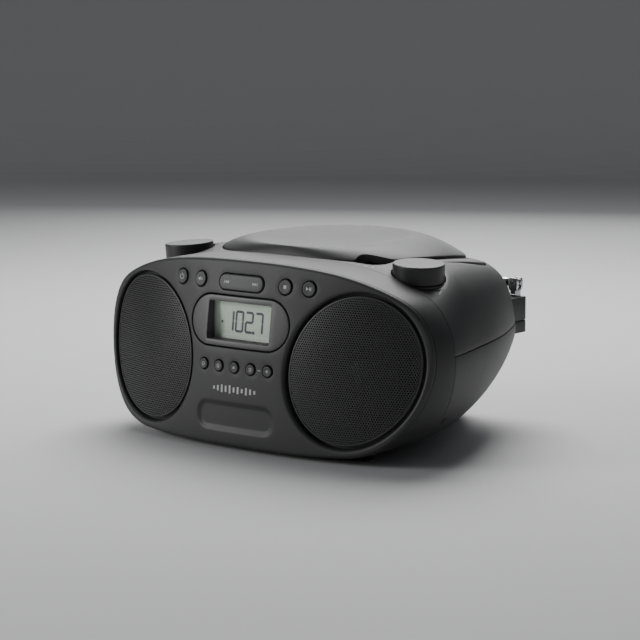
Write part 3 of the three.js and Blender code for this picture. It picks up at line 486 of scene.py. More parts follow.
# ---------------------------------------------------------------- meshes
def crossings(points, loop):
    """True for each point inside a closed loop: a line to the right crosses it an odd number of times."""
    a, b = loop, np.roll(loop, -1, axis=0)
    x, y = points[:, 0:1], points[:, 1:2]
    spans = (a[:, 1] > y) != (b[:, 1] > y)
    rise = np.where(b[:, 1] == a[:, 1], 1, b[:, 1] - a[:, 1])
    return ((spans & (x < (b[:, 0] - a[:, 0]) * (y - a[:, 1]) / rise + a[:, 0])).sum(1) % 2) == 1


def near(points, loop, reach):
    """True for each point closer than that to a point of the loop."""
    d = (points[:, 0:1] - loop[:, 0]) ** 2 + (points[:, 1:2] - loop[:, 1]) ** 2
    return d.min(1) < reach**2


def triangles_between(outline, holes, step):
    """Flat triangles inside an outline and outside its holes. The loops keep their points, and a
    staggered grid of points fills the room between them."""
    low, high = outline.min(0), outline.max(0)
    rows = np.arange(low[1], high[1], step * 0.866)
    columns = np.arange(low[0], high[0], step)
    x, y = np.meshgrid(columns, rows)
    x = x + (np.arange(len(rows)) % 2)[:, None] * step / 2
    points = np.stack([x.ravel(), y.ravel()], axis=1)
    keep = crossings(points, outline) & ~near(points, outline, step * 0.7)
    for hole in holes:
        box = (points > hole.min(0) - step) & (points < hole.max(0) + step)
        inside = box.all(1) & keep
        chosen = points[inside]
        keep[inside] = ~crossings(chosen, hole) & ~near(chosen, hole, step * 0.7)
    loops = [outline, *holes]
    starts = np.cumsum([0] + [len(loop) for loop in loops])
    edges = [(int(s + i), int(s + (i + 1) % len(loop))) for s, loop in zip(starts,
                                                            loops) for i in range(len(loop))]
    flat = np.vstack([*loops, points[keep]])
    found = delaunay_2d_cdt([Vector(p) for p in flat.tolist()], edges, [], 0, 1e-7, False)
    places = np.array([tuple(p) for p in found[0]])
    faces = np.array([f for f in found[2] if len(f) == 3])
    centre = places[faces].mean(1)
    wanted = crossings(centre, outline)
    for hole in holes:
        box = ((centre > hole.min(0)) & (centre < hole.max(0))).all(1) & wanted
        wanted[box] = ~crossings(centre[box], hole)
    return places, faces[wanted]


class Body:
    """Gathers patches of points and faces, then becomes one mesh piece."""

    def __init__(self):
        self.points, self.faces, self.count = [], [], 0

    def patch(self, points, faces):
        self.points.append(points.reshape(-1, 3))
        self.faces.extend((faces + self.count).tolist())
        self.count += len(self.points[-1])

    def grid(self, points, round_u=True, round_v=False):
        """Four-sided faces over rows and columns of points; a round direction closes on itself."""
        rows, columns = points.shape[:2]
        index = np.arange(rows * columns).reshape(rows, columns)
        if round_u:
            index = np.hstack([index, index[:, :1]])
        if round_v:
            index = np.vstack([index, index[:1]])
        quads = np.stack([index[:-1, :-1], index[:-1, 1:], index[1:, 1:], index[1:, :-1]], axis=-1)
        self.patch(points, quads.reshape(-1, 4))

    def fill(self, at, outline, holes, depth, step):
        flat, faces = triangles_between(outline, holes, step)
        self.patch(at(flat[:, 0], flat[:, 1], np.full(len(flat), float(depth))), faces)

    def piece(self, name, body, material, replaces=(), slot=None, sharp=38.0):
        """Welds the patches, turns the faces outwards and rides on a body."""
        mesh = bpy.data.meshes.new(name)
        points = ORIGIN + np.vstack(self.points) * MM
        mesh.from_pydata(points.tolist(), [], self.faces)
        made = bmesh.new()
        made.from_mesh(mesh)
        bmesh.ops.remove_doubles(made, verts=made.verts, dist=2e-6)
        bmesh.ops.dissolve_degenerate(made, edges=made.edges, dist=1e-7)
        bmesh.ops.recalc_face_normals(made, faces=made.faces)
        made.to_mesh(mesh)
        made.free()
        mesh.polygons.foreach_set("use_smooth", np.ones(len(mesh.polygons), bool))
        mesh.set_sharp_from_angle(angle=math.radians(sharp))
        mesh.materials.append(material)
        piece = bpy.data.objects.new(name, mesh)
        bpy.context.scene.collection.objects.link(piece)
        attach(piece, body)
        if replaces:
            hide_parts(*replaces)
        return piece


def quarter(radius, steps=6):
    """Rows (set in, depth) of a quarter circle from a face over its edge."""
    a = np.linspace(0, np.pi / 2, steps)
    return [(radius * (1 - math.sin(t)), radius * (1 - math.cos(t))) for t in a]


def rim_rows(top, depth, under=0.15, steps=6):
    """Rows of a plate's edge: a quarter circle, a straight side and a smaller quarter circle below."""
    below = [(s, depth - d) for s, d in reversed(quarter(under, 3))]
    return quarter(top, steps) + below


def carried(loop, rows, sign):
    """A closed loop carried along (set, depth) rows: rows x points x (u, v, depth). A row holds two
    numbers, or two arrays with a number for each point."""
    n = normals_of(loop)
    full = np.stack([np.broadcast_to(np.stack([np.asarray(v, float) * np.ones(len(loop)) for v in row],
                                              axis=1),
                                     (len(loop), 2)) for row in rows])
    return np.concatenate([loop + sign * n * full[..., :1], full[..., 1:]], axis=2)


def moulding(body, at, outline, rows, holes=(), step=3.0, under=6.0):
    """A moulded plate over a flat outline. `at` bends it into place. `rows` carry its edge from the top
    face to the underside. Each hole is (loop, rows, deep): its own rows go down into it, `deep` may
    add rows of finished points between the last two."""
    rim = carried(outline, rows, -1)
    body.grid(at(rim[..., 0], rim[..., 1], rim[..., 2]))
    tops, bottoms = [], []
    for loop, hole_rows, deep in holes:
        walls = carried(loop, hole_rows, 1)
        points = at(walls[..., 0], walls[..., 1], walls[..., 2])
        if deep is not None:
            points = np.concatenate([points[:-1], deep(points[-2]), points[-1:]])
        body.grid(points)
        tops.append(walls[0, :, :2])
        bottoms.append(walls[-1, :, :2])
    body.fill(at, rim[0, :, :2], tops, rows[0][1], step)
    body.fill(at, rim[-1, :, :2], bottoms, rows[-1][1], under)


def turned(profile, place=None, count=64):
    """A turned piece: rows of (radius, height) carried round the local Z axis of a place."""
    profile = np.array(profile, float)
    angle = np.arange(count) * 2 * np.pi / count
    ring = np.stack([np.cos(angle), np.sin(angle)], axis=1)
    points = np.concatenate([
        profile[:, None, :1] * ring[None], np.broadcast_to(profile[:, None, 1:], (len(profile), count, 1))],
                            axis=2)
    return points if place is None else moved(points, place)


def moved(points, place):
    m = np.array(place)
    return points @ m[:3, :3].T + m[:3, 3]


def arc(cx, cy, radius, start, end, steps=7):
    """Points of a circle's arc between two angles in degrees, as (x, y) rows."""
    a = np.radians(np.linspace(start, end, steps))
    return [(cx + radius * math.cos(t), cy + radius * math.sin(t)) for t in a]


def facing(x, z, lift=0.0):
    """Place on the front panel: X to the right, Y up the panel, Z out of it."""
    out = np.array([2 * x * (BOW_X + BOW_CORNERS * z * z), -1, LEAN + 2 * z * (BOW_Z + BOW_CORNERS * x * x)])
    out /= np.linalg.norm(out)
    right = np.array([1, 0, 0]) - out * out[0]
    right /= np.linalg.norm(right)
    place = np.identity(4)
    place[:3, 0], place[:3, 1], place[:3, 2] = right, np.cross(out, right), out
    place[:3, 3] = np.array([x, bow(x, z), z]) + out * lift
    return place


def knob_place(side):
    tilt = Matrix.Rotation(side * KNOB_LEAN[1], 4, "Y") @ Matrix.Rotation(KNOB_LEAN[0], 4, "X")
    return np.array(Matrix.Translation((side * KNOB_AT[0], KNOB_AT[1], KNOB_AT[2])) @ tilt)


# ---------------------------------------------------------------- finishes
class Number:
    """A shader value that takes part in arithmetic."""

    def __init__(self, paint, socket):
        self.paint, self.socket = paint, socket

    def math(self, operation, first, second):
        return self.paint.node("ShaderNodeMath", {"operation": operation}, {0: first, 1: second})

    def __add__(self, other):
        return self.math("ADD", self, other)

    def __mul__(self, other):
        return self.math("MULTIPLY", self, other)

    def __sub__(self, other):
        return self.math("SUBTRACT", self, other)

    def __rsub__(self, other):
        return self.math("SUBTRACT", other, self)

    def __pow__(self, other):
        return self.math("POWER", self, other)

    __radd__ = __add__
    __rmul__ = __mul__


class Paint:
    """A material's node tree, with one method that adds any node."""

    def __init__(self, name):
        self.material = bpy.data.materials.new(name)
        self.material.use_nodes = True
        self.tree = self.material.node_tree
        self.tree.nodes.clear()
        self.output = self.tree.nodes.new("ShaderNodeOutputMaterial")
        self.place = self.node("ShaderNodeTexCoord", {}, {}, "Object")

    def node(self, kind, settings, sockets, take=0):
        made = self.tree.nodes.new(kind)
        for key, value in settings.items():
            if key == "stops":
                for stop, (position, colour) in zip(made.color_ramp.elements, value):
                    stop.position, stop.color = position, colour
            else:
                setattr(made, key, value)
        for key, value in sockets.items():
            if isinstance(value, Number):
                self.tree.links.new(value.socket, made.inputs[key])
            else:
                made.inputs[key].default_value = value
        return Number(self, made.outputs[take])

    def noise(self, size, detail=2.0, rough=0.5, place=None):
        """Noise with lumps of that size in metres."""
        return self.node("ShaderNodeTexNoise", {}, {
            "Vector": place or self.place, "Scale": 1 / size, "Detail": detail, "Roughness": rough}, "Fac")

    def mix(self, share, first, second):
        made = self.node("ShaderNodeMix", {"data_type": "RGBA"}, {0: share, 6: first, 7: second}, 2)
        return made

    def bump(self, height, distance, strength=1.0, normal=None):
        sockets = {"Height": height, "Distance": distance, "Strength": strength}
        if normal:
            sockets["Normal"] = normal
        return self.node("ShaderNodeBump", {}, sockets, "Normal")

    def finish(self, **sockets):
        named = {key.replace("_", " "): value for key, value in sockets.items()}
        shader = self.node("ShaderNodeBsdfPrincipled", {}, named)
        self.tree.links.new(shader.socket, self.output.inputs["Surface"])
        return self.material


def rgba(colour, share=1.0):
    return (*(c * share for c in colour), 1.0)


def moulded_plastic(name, colour, grain, rough=0.5, relief=0.00003, spread=0.12):
    """Spark-eroded plastic: two sizes of fine grain in the relief, slow changes of colour and gloss."""
    paint = Paint(name)
    fine = paint.noise(grain, 3.0, 0.6)
    cloud = paint.noise(0.045, 3.0)
    tone = paint.mix(cloud * 0.6 + fine * 0.4, rgba(colour, 1 - spread), rgba(colour, 1 + spread))
    gloss = fine * 0.16 + cloud * 0.12 + (rough - 0.14)
    return paint.finish(
        Base_Color=tone, Roughness=gloss, Normal=paint.bump(fine + paint.noise(grain * 0.4, 1.0) * 0.5,
                                                            relief))


def metal(name, colour, rough, streak=0.0006, relief=0.0, spread=0.1):
    """Bare or plated metal, with fine uneven gloss drawn out along its length."""
    paint = Paint(name)
    stretched = paint.node("ShaderNodeMapping", {}, {"Vector": paint.place, "Scale": (0.15, 1.0, 1.0)})
    streaks = paint.noise(streak, 3.0, 0.6, stretched)
    haze = paint.noise(0.012, 2.0)
    sockets = {
        "Base_Color": paint.mix(haze, rgba(colour, 1 - spread), rgba(colour, 1.0)), "Metallic": 1.0,
        "Roughness": streaks * 0.1 + haze * 0.06 + (rough - 0.08)}
    if relief:
        sockets["Normal"] = paint.bump(streaks, relief)
    return paint.finish(**sockets)


def speckled(name, colour, grain, rough, relief, metallic=0.0, sheen=0.0):
    """A matt surface with fine speckles, for rubber, paper, board, ink and painted steel."""
    paint = Paint(name)
    grains = paint.noise(grain, 4.0, 0.65)
    return paint.finish(
        Base_Color=paint.mix(grains, rgba(colour, 0.75), rgba(colour, 1.25)), Metallic=metallic,
        Roughness=grains * 0.2 + (rough - 0.1), Sheen_Weight=sheen, Normal=paint.bump(grains, relief))


def circuit_board(name):
    """Green lacquer over copper tracks: bands of a cell pattern show as paler, slightly raised lines."""
    paint = Paint(name)
    cells = paint.node("ShaderNodeTexVoronoi", {"feature": "DISTANCE_TO_EDGE", "distance": "MANHATTAN"}, {
        "Vector": paint.place, "Scale": 220.0}, "Distance")
    track = paint.node("ShaderNodeMath", {"operation": "LESS_THAN"}, {0: cells, 1: 0.08})
    return paint.finish(
        Base_Color=paint.mix(track, (0.01, 0.075, 0.03, 1), (0.03, 0.16, 0.06, 1)),
        Roughness=0.35 + track * 0.1, Normal=paint.bump(track, 0.00004))


def clear_window(name):
    """Clear acrylic with faint dust."""
    paint = Paint(name)
    dust = paint.noise(0.0012, 4.0, 0.7) ** 4.0
    return paint.finish(
        Base_Color=(0.96, 0.98, 0.96, 1), Roughness=0.04 + dust * 0.2, Transmission_Weight=1.0, IOR=1.2,
        Specular_IOR_Level=0.35)


FINISHES = {}


def finish(name):
    """The material of a slot, made when it is first asked for."""
    if not FINISHES:
        f = bpy.context.scene.disc_player_finish
        FINISHES.update({
            "case_plastic": moulded_plastic("case_plastic", f.plastic, f.grain),
            "dark_gloss": moulded_plastic("dark_gloss", f.gloss, f.grain * 0.6, 0.38, 0.000012),
            "button_plastic": moulded_plastic("button_plastic", f.plastic, f.grain * 0.7, 0.46, 0.00002),
            "grille_metal": speckled("grille_metal", (0.05, 0.05, 0.051), 0.0002, 0.42, 0.00001, 0.4),
            "chrome": metal("chrome", (0.8, 0.8, 0.81), 0.12),
            "steel": metal("steel", (0.42, 0.42, 0.43), 0.32, 0.0008, 0.000004),
            "rubber": speckled("rubber", (0.012, 0.012, 0.012), 0.0005, 0.8, 0.00003, 0.0, 0.1),
            "circuit_board": circuit_board("circuit_board"),
            "cone_paper": speckled("cone_paper", (0.018, 0.018, 0.018), 0.0004, 0.75, 0.00005, 0.0, 0.2),
            "lcd": speckled("lcd", f.lcd, 0.0003, 0.42, 0.000002),
            "lcd_digit": speckled("lcd_digit", (0.10, 0.12, 0.14), 0.0003, 0.5, 0.000002),
            "window": clear_window("window"),
            "print_ink": speckled("print_ink", f.print_ink, 0.0002, 0.6, 0.000002),
            "basket_black": moulded_plastic("basket_black", (0.006, 0.006, 0.006), f.grain, 0.8, 0.000006),
            "dust_cap": metal("dust_cap", (0.16, 0.16, 0.16), 0.5),
            "knob_plastic": moulded_plastic("knob_plastic", [c * 0.9 for c in f.plastic], f.grain * 0.8,
                                            0.42, 0.000012),
            "window_wall": moulded_plastic("window_wall", (0.10, 0.085, 0.10), f.grain * 0.6, 0.5, 0.00001),
        })
    return FINISHES[name]


def paint_cad(slot, *nodes):
    """Gives CAD nodes that stay in sight their finish."""
    for node in nodes:
        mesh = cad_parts[node].data
        mesh.materials.clear()
        mesh.materials.append(finish(slot))


# ---------------------------------------------------------------- case
def speaker_oval(side, grow, count=192):
    a, b = SPEAKER_OPENING
    return oval(a + grow, b + grow, side * SPEAKER_X, 0, -side * SPEAKER_TILT, count)


def make_fascia(sizes):
    """The front panel: a bowed plate with rounded openings, a soft dish low in the middle and a baffle behind
    each loudspeaker opening."""
    lip = sizes.speaker_lip / MM
    baffle = [(0, 6.5), (-8, 6.5), (-8, 8.5), (1.8, 8.5), (1.8, WALL)]
    small = quarter(0.45, 4) + [(0, WALL)]
    holes = [(speaker_oval(side, 0), quarter(lip, 9) + baffle, None) for side in (-1, 1)]
    for x in (*BUTTON_X, *(-x for x in BUTTON_X)):
        holes.append((oval(BUTTON_RADIUS + RUN, BUTTON_RADIUS + RUN, x, BUTTON_Z, count=48), small, None))
    for i in range(-2, 3):
        holes.append((oval(KEY_RADIUS + RUN, KEY_RADIUS + RUN, i * KEY_PITCH, KEY_Z, count=40), small, None))
    holes.append((stadium(ROCKER_SIZE[0] + 2 * RUN, ROCKER_SIZE[1] + 2 * RUN, 0, BUTTON_Z), small, None))
    holes.append((stadium(*DISPLAY_SIZE, 0, DISPLAY_Z, 200), quarter(0.7, 5) + [(0, WALL)], None))
    outline = evenly(FRONT_RING, 420)
    dish = rounded(*DISH_SIZE, 8, 0, DISH_Z, 200)
    soft = 5.0
    slope = [(soft * (0.5 - t), DISH_DEPTH * float(smooth(t))) for t in np.linspace(0, 1, 12)]
    body = Body()
    rim = carried(outline, rim_rows(sizes.panel_edge / MM, WALL, 0.1, 9), -1)
    body.grid(on_panel(rim[..., 0], rim[..., 1], rim[..., 2]))
    tops, bottoms = [], []
    for loop, rows, _ in holes:
        walls = carried(loop, rows, 1)
        body.grid(on_panel(walls[..., 0], walls[..., 1], walls[..., 2]))
        tops.append(walls[0, :, :2])
        bottoms.append(walls[-1, :, :2])
    bowl = carried(dish, slope, 1)
    body.grid(on_panel(bowl[..., 0], bowl[..., 1], bowl[..., 2]))
    step = sizes.panel_step / MM
    body.fill(on_panel, bowl[-1, :, :2], [], DISH_DEPTH, step)
    body.fill(on_panel, rim[0, :, :2], [*tops, bowl[0, :, :2]], 0, step)
    body.fill(on_panel, rim[-1, :, :2], bottoms, WALL, 8.0)
    return body.piece("fascia_moulding", "case", finish("case_plastic"), ["fascia"], "case_plastic")


def make_front_frame(sizes):
    """The band behind the front panel: each of its points goes from the panel's outline to the seam's as
    the sine of its share of the way to the power 0.8, with a small roll at both edges and an inner
    wall."""
    s = np.arange(480) * SEAM_LENGTH / 480
    front, seam = along(FRONT_RING, s), along(SEAM_RING, s)
    edge = bow(front[:, 0], front[:, 1]) + WALL + GAP
    roll = sizes.seam_edge / MM

    def band(t, sink):
        t = np.asarray(t, float)[:, None]
        swell = (np.sin(np.clip(t, 0, 1) * np.pi / 2) ** 0.8)[..., None]
        p = front + (seam - front) * swell
        d = np.roll(p, -1, axis=1) - np.roll(p, 1, axis=1)
        d /= np.linalg.norm(d, axis=-1, keepdims=True)
        p = p - np.stack([-d[..., 1], d[..., 0]], axis=-1) * np.asarray(sink, float)[:, None, None]
        y = edge + (SEAM_Y - 0.1 - edge) * t
        return np.stack([p[..., 0], y, p[..., 1]], axis=-1)

    a = np.linspace(0, np.pi / 2, 4)
    reach = roll / (SEAM_Y - 10)
    front_roll = (reach * (1 - np.sin(a)))[::-1], (roll * (1 - np.cos(a)))[::-1]
    t = np.concatenate([[0], front_roll[0], np.linspace(0.03, 0.97, 26), 1 - front_roll[0][::-1], [1]])
    sink = np.concatenate([[WALL], front_roll[1], np.zeros(26), front_roll[1][::-1], [WALL]])
    body = Body()
    body.grid(band(t, sink), round_v=True)
    return body.piece("front_frame_moulding", "case", finish("case_plastic"), ["front_frame"], "case_plastic")


def sheet_outline(s0, s1, v0, v1):
    return polyline([(s0, v0), (s1, v0), (s1, v1), (s0, v1)], 2.0)


def ledge_half(body, low, high):
    """Half of the ledge on the back: a block with round edges."""
    outline = rounded(2 * LEDGE[0], 30, 2.0, 0, REAR_FACE + LEDGE[1] - 15, 240)

    def at(x, y, depth):
        return np.stack([x, y, high - depth], axis=-1)

    moulding(body, at, outline, rim_rows(0.6, high - low, 0.6), (), 6.0)


def back_plate(body, low, high, holes=()):
    """The flat of the back within the turned edge, above or below the split."""
    ring = case_skin(np.linspace(0, SEAM_LENGTH, 400, endpoint=False), STRAIGHT + BACK_ARC)[:, [0, 2]]
    ring = ring - normals_of(ring) * 0.3
    ring[:, 1] = np.clip(ring[:, 1], low, high)
    keep = np.linalg.norm(ring - np.roll(ring, 1, axis=0), axis=1) > 1e-6

    def at(x, z, depth):
        return np.stack([x, REAR_FACE - depth, z], axis=-1)

    moulding(body, at, evenly(ring[keep], 320), rim_rows(0.3, WALL), holes, 5.0)


def make_upper_shell(sizes):
    """The upper rear moulding: the case's skin above the split, open for the lid and handle, with a cup under
    each knob."""
    roll = sizes.seam_edge / MM
    well = well_outline()
    floor = DECK_Z - DECK_THICK - 0.4

    def down_to_deck(last):
        wall = last.copy()
        wall[:, 2] = floor
        out = normals_of(wall[:, :2]) * 1.6
        outside = wall.copy()
        outside[:, :2] += out
        return np.stack([wall, outside])

    scoop = notch(np.arctan2(well[:, 1] - LID_CENTRE_Y, well[:, 0]), 3.2)
    lip = [(a * (0.9 + scoop), b * (0.9 + scoop)) for a, b in quarter(1.0, 8)] + [(2.6, WALL + scoop)]
    holes = [(np.stack(case_place(well[:, 0], well[:, 1]), axis=1), lip, down_to_deck)]
    for side in (-1, 1):
        place = knob_place(side)
        inverse = np.linalg.inv(place)
        circle = oval(KNOB_POCKET, KNOB_POCKET, count=128)
        height = np.full(len(circle), -8.0)
        for _ in range(8):
            p = moved(np.column_stack([circle, height]), place)
            height += top_z(p[:, 0], p[:, 1]) - p[:, 2]
        p = moved(np.column_stack([circle, height]), place)

        def cup(last, place=place, inverse=inverse):
            local = moved(last, inverse)
            rows = []
            for radius, z in ((None, KNOB_SEAT), (4.0, KNOB_SEAT), (4.0, KNOB_SEAT - 2),
                              (KNOB_POCKET + 2, KNOB_SEAT - 2)):
                row = local.copy()
                if radius:
                    row[:, :2] *= radius / np.linalg.norm(row[:, :2], axis=1, keepdims=True)
                row[:, 2] = z
                rows.append(moved(row, place))
            return np.stack(rows)

        holes.append((np.stack(case_place(p[:, 0], p[:, 1]), axis=1), quarter(0.4, 4) + [(2.4, WALL)], cup))
    body = Body()
    outline = sheet_outline(-SPLIT_S + 0.2, SPLIT_S - 0.2, 0.2, STRAIGHT + BACK_ARC)
    moulding(body, on_case, outline, rim_rows(roll, WALL, 0.1, 4), holes, sizes.panel_step / MM, 7.0)
    back_plate(body, SPLIT_Z + 0.2, 200)
    ledge_half(body, SPLIT_Z + 0.15, LEDGE_TOP)
    trough(body)
    return body.piece("upper_rear_moulding", "case", finish("case_plastic"), ["upper_rear_shell"],
                      "case_plastic")


def handle_fall(y):
    """How far the case's top has fallen behind the pivots."""
    zero = np.zeros_like(y)
    return top_z(zero, zero + HANDLE_PIVOT_Y) - top_z(zero, np.maximum(y, HANDLE_PIVOT_Y))


def trough(body):
    """Floor of the handle's trough, which ends in the collar round the lid's well: closed rows round the
    lid."""
    angle = np.arange(360) * 2 * np.pi / 360
    inner = lid_radius(angle, LID_RUN + 0.25) + notch(angle, WELL_BITE)
    outer = np.fmax(inner, handle_outside(angle, 1.4)) + 0.5
    level = HANDLE_PIVOT_Z - HANDLE_THICK / 2 - 3 * RUN
    low = DECK_Z - DECK_THICK - 0.2
    rows = []
    for radius, drop in ((inner, None), (inner, 0.8), (inner + 0.25, 0.25), (inner + 0.8, 0),
                         (np.maximum(outer, inner + 1), 0),
                         (np.maximum(outer, inner + 1), None)):
        p = about_lid(angle, radius)
        z = np.full(360, low) if drop is None else np.maximum(level - handle_fall(p[:, 1]) - drop, low + 0.1)
        rows.append(np.column_stack([p, z]))
    body.grid(np.stack(rows), round_v=True)


SLOT_AT = 47.5  # from the split down to the small slot in the right side


def make_lower_shell(sizes):
    """The lower rear moulding: the case's skin below the split, open for the battery door, and the back
    with the opening of the mains inlet."""
    door = rounded(DOOR[0], DOOR[1], 3.0, 0, DOOR[2], 240)
    s, v = case_place(door[:, 0], door[:, 1], True)
    holes = [(np.stack([s, v], axis=1), quarter(0.5, 4) + [(0, WALL)], None)]
    vent = stadium(6.4, 2.2, 0, 0, 48)
    slot_s, slot_v = SPLIT_S + SLOT_AT, 5.1
    holes.append((vent + (slot_s, slot_v), quarter(0.3, 3) + [(0, WALL)], None))
    body = Body()
    outline = sheet_outline(SPLIT_S + 0.2, SEAM_LENGTH - SPLIT_S - 0.2, 0.2, STRAIGHT + BACK_ARC)
    moulding(body, on_case, outline, rim_rows(sizes.seam_edge / MM, WALL, 0.1, 4), holes,
             sizes.panel_step / MM, 7.0)
    inlet = rounded(INLET[0], INLET[1], 2.0, INLET[2], INLET[3], 100)
    back_plate(body, -200, SPLIT_Z - 0.2, [(inlet, quarter(0.8, 5) + [(0, WALL)], None)])
    ledge_half(body, LEDGE_Z, SPLIT_Z - 0.15)
    return body.piece("lower_rear_moulding", "case", finish("case_plastic"), ["lower_rear_shell"],
                      "case_plastic")


# ---------------------------------------------------------------- lid and handle
def lid_height(share, angle_points):
    """Height of the lid at a share of the way from the dish's middle to its edge, under each edge point."""
    edge, rim = angle_points
    _, dish_y, dish_low = LID_DISH
    rim_z = RIM_Z + RIM_SLOPE * (rim[:, 1] - dish_y)
    edge_z = top_z(edge[:, 0], edge[:, 1]) + LID_PROUD
    share = share[:, None]
    inside = dish_low + (rim_z - dish_low) * np.clip(share / RIM_AT, 0, 1) ** 2.6
    q = np.clip((share - RIM_AT) / (1 - RIM_AT), 0, 1)
    outside = edge_z + (rim_z - edge_z) * np.cos(q * np.pi / 2) ** 0.9
    return np.where(share <= RIM_AT, inside, outside)


def make_lid():
    """The lid: rows from the middle of its dish over the rim to the edge, where it rolls over and drops,
    then back underneath. The dish rises with the 2.6th power of the distance and the outside falls as
    a cosine."""
    count = 512
    angle = np.arange(count) * 2 * np.pi / count
    edge = evenly(about_lid(angle, lid_radius(angle, 0)), count)
    turn = np.arctan2((edge[:, 1] - LID_CENTRE_Y) / LID_HALF[1], edge[:, 0] / LID_HALF[0])
    forward = np.where(turn < 0, RIM_FRONT, 1)
    rim = np.stack([LID_DISH[0] * np.cos(turn), LID_DISH[1] + LID_DISH[0] * forward * np.sin(turn)], axis=1)
    polar = np.arctan2(edge[:, 1] - LID_CENTRE_Y, edge[:, 0])
    way = np.linalg.norm(edge - rim, axis=1)
    lugs = 1 - smooth((np.abs(np.abs(edge[:, 0]) - (HINGE_HALF - 2.5)) - 4.2) / 0.8)
    bite = notch(polar, LID_BITE) + 9.0 * lugs * (edge[:, 1] > LID_CENTRE_Y)
    reach = 1 - bite / way * (1 - RIM_AT)

    fine = np.linspace(0, 1, 400)
    heights = lid_height(fine, (edge, rim))
    kernel = np.exp(-0.5 * (np.arange(-24, 25) / 7.0) ** 2)
    kernel /= kernel.sum()
    padded = np.vstack([heights[24:0:-1], heights,
                        heights[-1:] + (heights[-1:] - heights[-2:-1]) * np.arange(1, 25)[:, None]])
    softened = sum(w * padded[i:i + 400] for i, w in enumerate(kernel))

    def surface(share, set_in, sink):
        """Points at shares of the way out (rows), set in from the edge by some millimetres and sunk."""
        s = np.clip(share[:, None] * reach - set_in[:, None] / way * (1 - RIM_AT), 0, 1)
        q = np.clip((s - RIM_AT) / (1 - RIM_AT), 0, 1)[..., None]
        inner = np.array([0, LID_DISH[1]]) + (rim - (0, LID_DISH[1])) * np.clip(s / RIM_AT, 0, 1)[..., None]
        plan = np.where(s[..., None] <= RIM_AT, inner, rim + (edge - rim) * q)
        k = s * 399
        low = np.clip(np.floor(k).astype(int), 0, 398)
        column = np.arange(count)[None]
        z = softened[low, column] * (1 - k + low) + softened[low + 1, column] * (k - low)
        return np.concatenate([plan, (z - sink[:, None])[..., None]], axis=2)

    out = np.concatenate([np.linspace(0.002, 0.6, 34), np.linspace(0.61, 0.74, 22), np.linspace(0.75, 1, 34)])
    over = np.array(quarter(0.8, 6))
    under = np.linspace(1, 0.002, 40)
    share = np.concatenate([out[:-1], np.ones(6), [1], [1], [1], under])
    set_in = np.concatenate([np.zeros(len(out) - 1), over[:, 0], [0], [0.3], [2.2], np.full(40, 2.2)])
    sink = np.concatenate([np.zeros(len(out) - 1), over[:, 1], [LID_SKIRT - 0.3], [LID_SKIRT], [LID_SKIRT],
                           np.full(40, WALL)])
    set_in = np.where(share < 0.9, 0, set_in)
    body = Body()
    points = surface(share, set_in, sink)
    body.grid(points)
    for row in (0, -1):
        cap = np.concatenate([points[row], points[row].mean(0, keepdims=True)])
        index = np.arange(count)
        body.patch(cap, np.stack([index, (index + 1) % count, np.full(count, count)], axis=1))
    centre = np.array([0, LID_CENTRE_Y, 0])
    seat = LID_DISH[2] - WALL
    body.grid(turned([(4.6, seat - 1), (4.6, seat - 6), (5, seat - 6.3), (8.6, seat - 6.3), (9, seat - 6),
                      (9, seat + 1)]) + centre, True, True)
    body.grid(barrel(HINGE_HALF - 7), True, True)
    return body.piece("lid_moulding", "lid_body", finish("case_plastic"), ["lid"], "case_plastic")


def barrel(half, radius=3.0, bore=1.8):
    """A tube about the lid's hinge axis."""
    profile = [(bore, -half), (radius - 0.3, -half), (radius, -half + 0.3), (radius, half - 0.3),
               (radius - 0.3, half), (bore, half)]
    place = np.identity(4)
    place[:3, :3] = np.array([[0, 0, 1], [0, 1, 0], [-1, 0, 0]])
    place[:3, 3] = (0, HINGE_Y, HINGE_Z)
    return turned(profile, place, 32)


def make_handle():
    """The carry handle: a crescent between the lid's outline and an ellipse, with round tips and edges,
    its top following the case."""
    first = math.atan2(HANDLE_PIVOT_Y - LID_CENTRE_Y, HANDLE_PIVOT_X)
    reach = math.hypot(HANDLE_PIVOT_X, HANDLE_PIVOT_Y - LID_CENTRE_Y)
    start = first - math.asin(HANDLE_TIP / reach)
    turn = start + (np.pi - 2 * start) * (1 - np.cos(np.linspace(0, np.pi, 260))) / 2
    outer = handle_outside(np.clip(turn, start + 1e-4, np.pi - start - 1e-4), 0)
    y = LID_CENTRE_Y + lid_radius(turn, 0) * np.sin(turn)
    share = smooth((y - LID_CENTRE_Y) / LID_HALF[1]) * np.maximum(np.sin(turn), 0)
    lid_side = lid_radius(turn, HANDLE_CLEAR) + HANDLE_EDGE * share
    tip = tip_reach(np.clip(turn, start + 1e-4, np.pi - start - 1e-4), HANDLE_TIP, False)
    folded = np.arctan2(np.sin(turn), np.abs(np.cos(turn)))
    inner = np.where(folded < first, np.fmax(lid_side, tip), lid_side)
    inner = np.minimum(inner, outer)
    loop = np.vstack([about_lid(turn, outer), about_lid(turn, inner)[::-1]])
    loop = eased(evenly(loop, 640), 0.5)

    def at(x, y, depth):
        flush = top_z(x, y) - 0.3
        plain = HANDLE_PIVOT_Z + HANDLE_THICK / 2 - handle_fall(y)
        sunk = np.clip(depth / HANDLE_THICK, 0, 1)
        return np.stack([x, y, (flush * 0.6 + plain * 0.4) * (1 - sunk) + plain * sunk - depth], axis=-1)

    body = Body()
    moulding(body, at, loop, rim_rows(1.3, HANDLE_THICK, 1.0, 7), (), 2.5, 5.0)
    return body.piece("handle_moulding", "handle_body", finish("case_plastic"), ["handle"], "case_plastic")


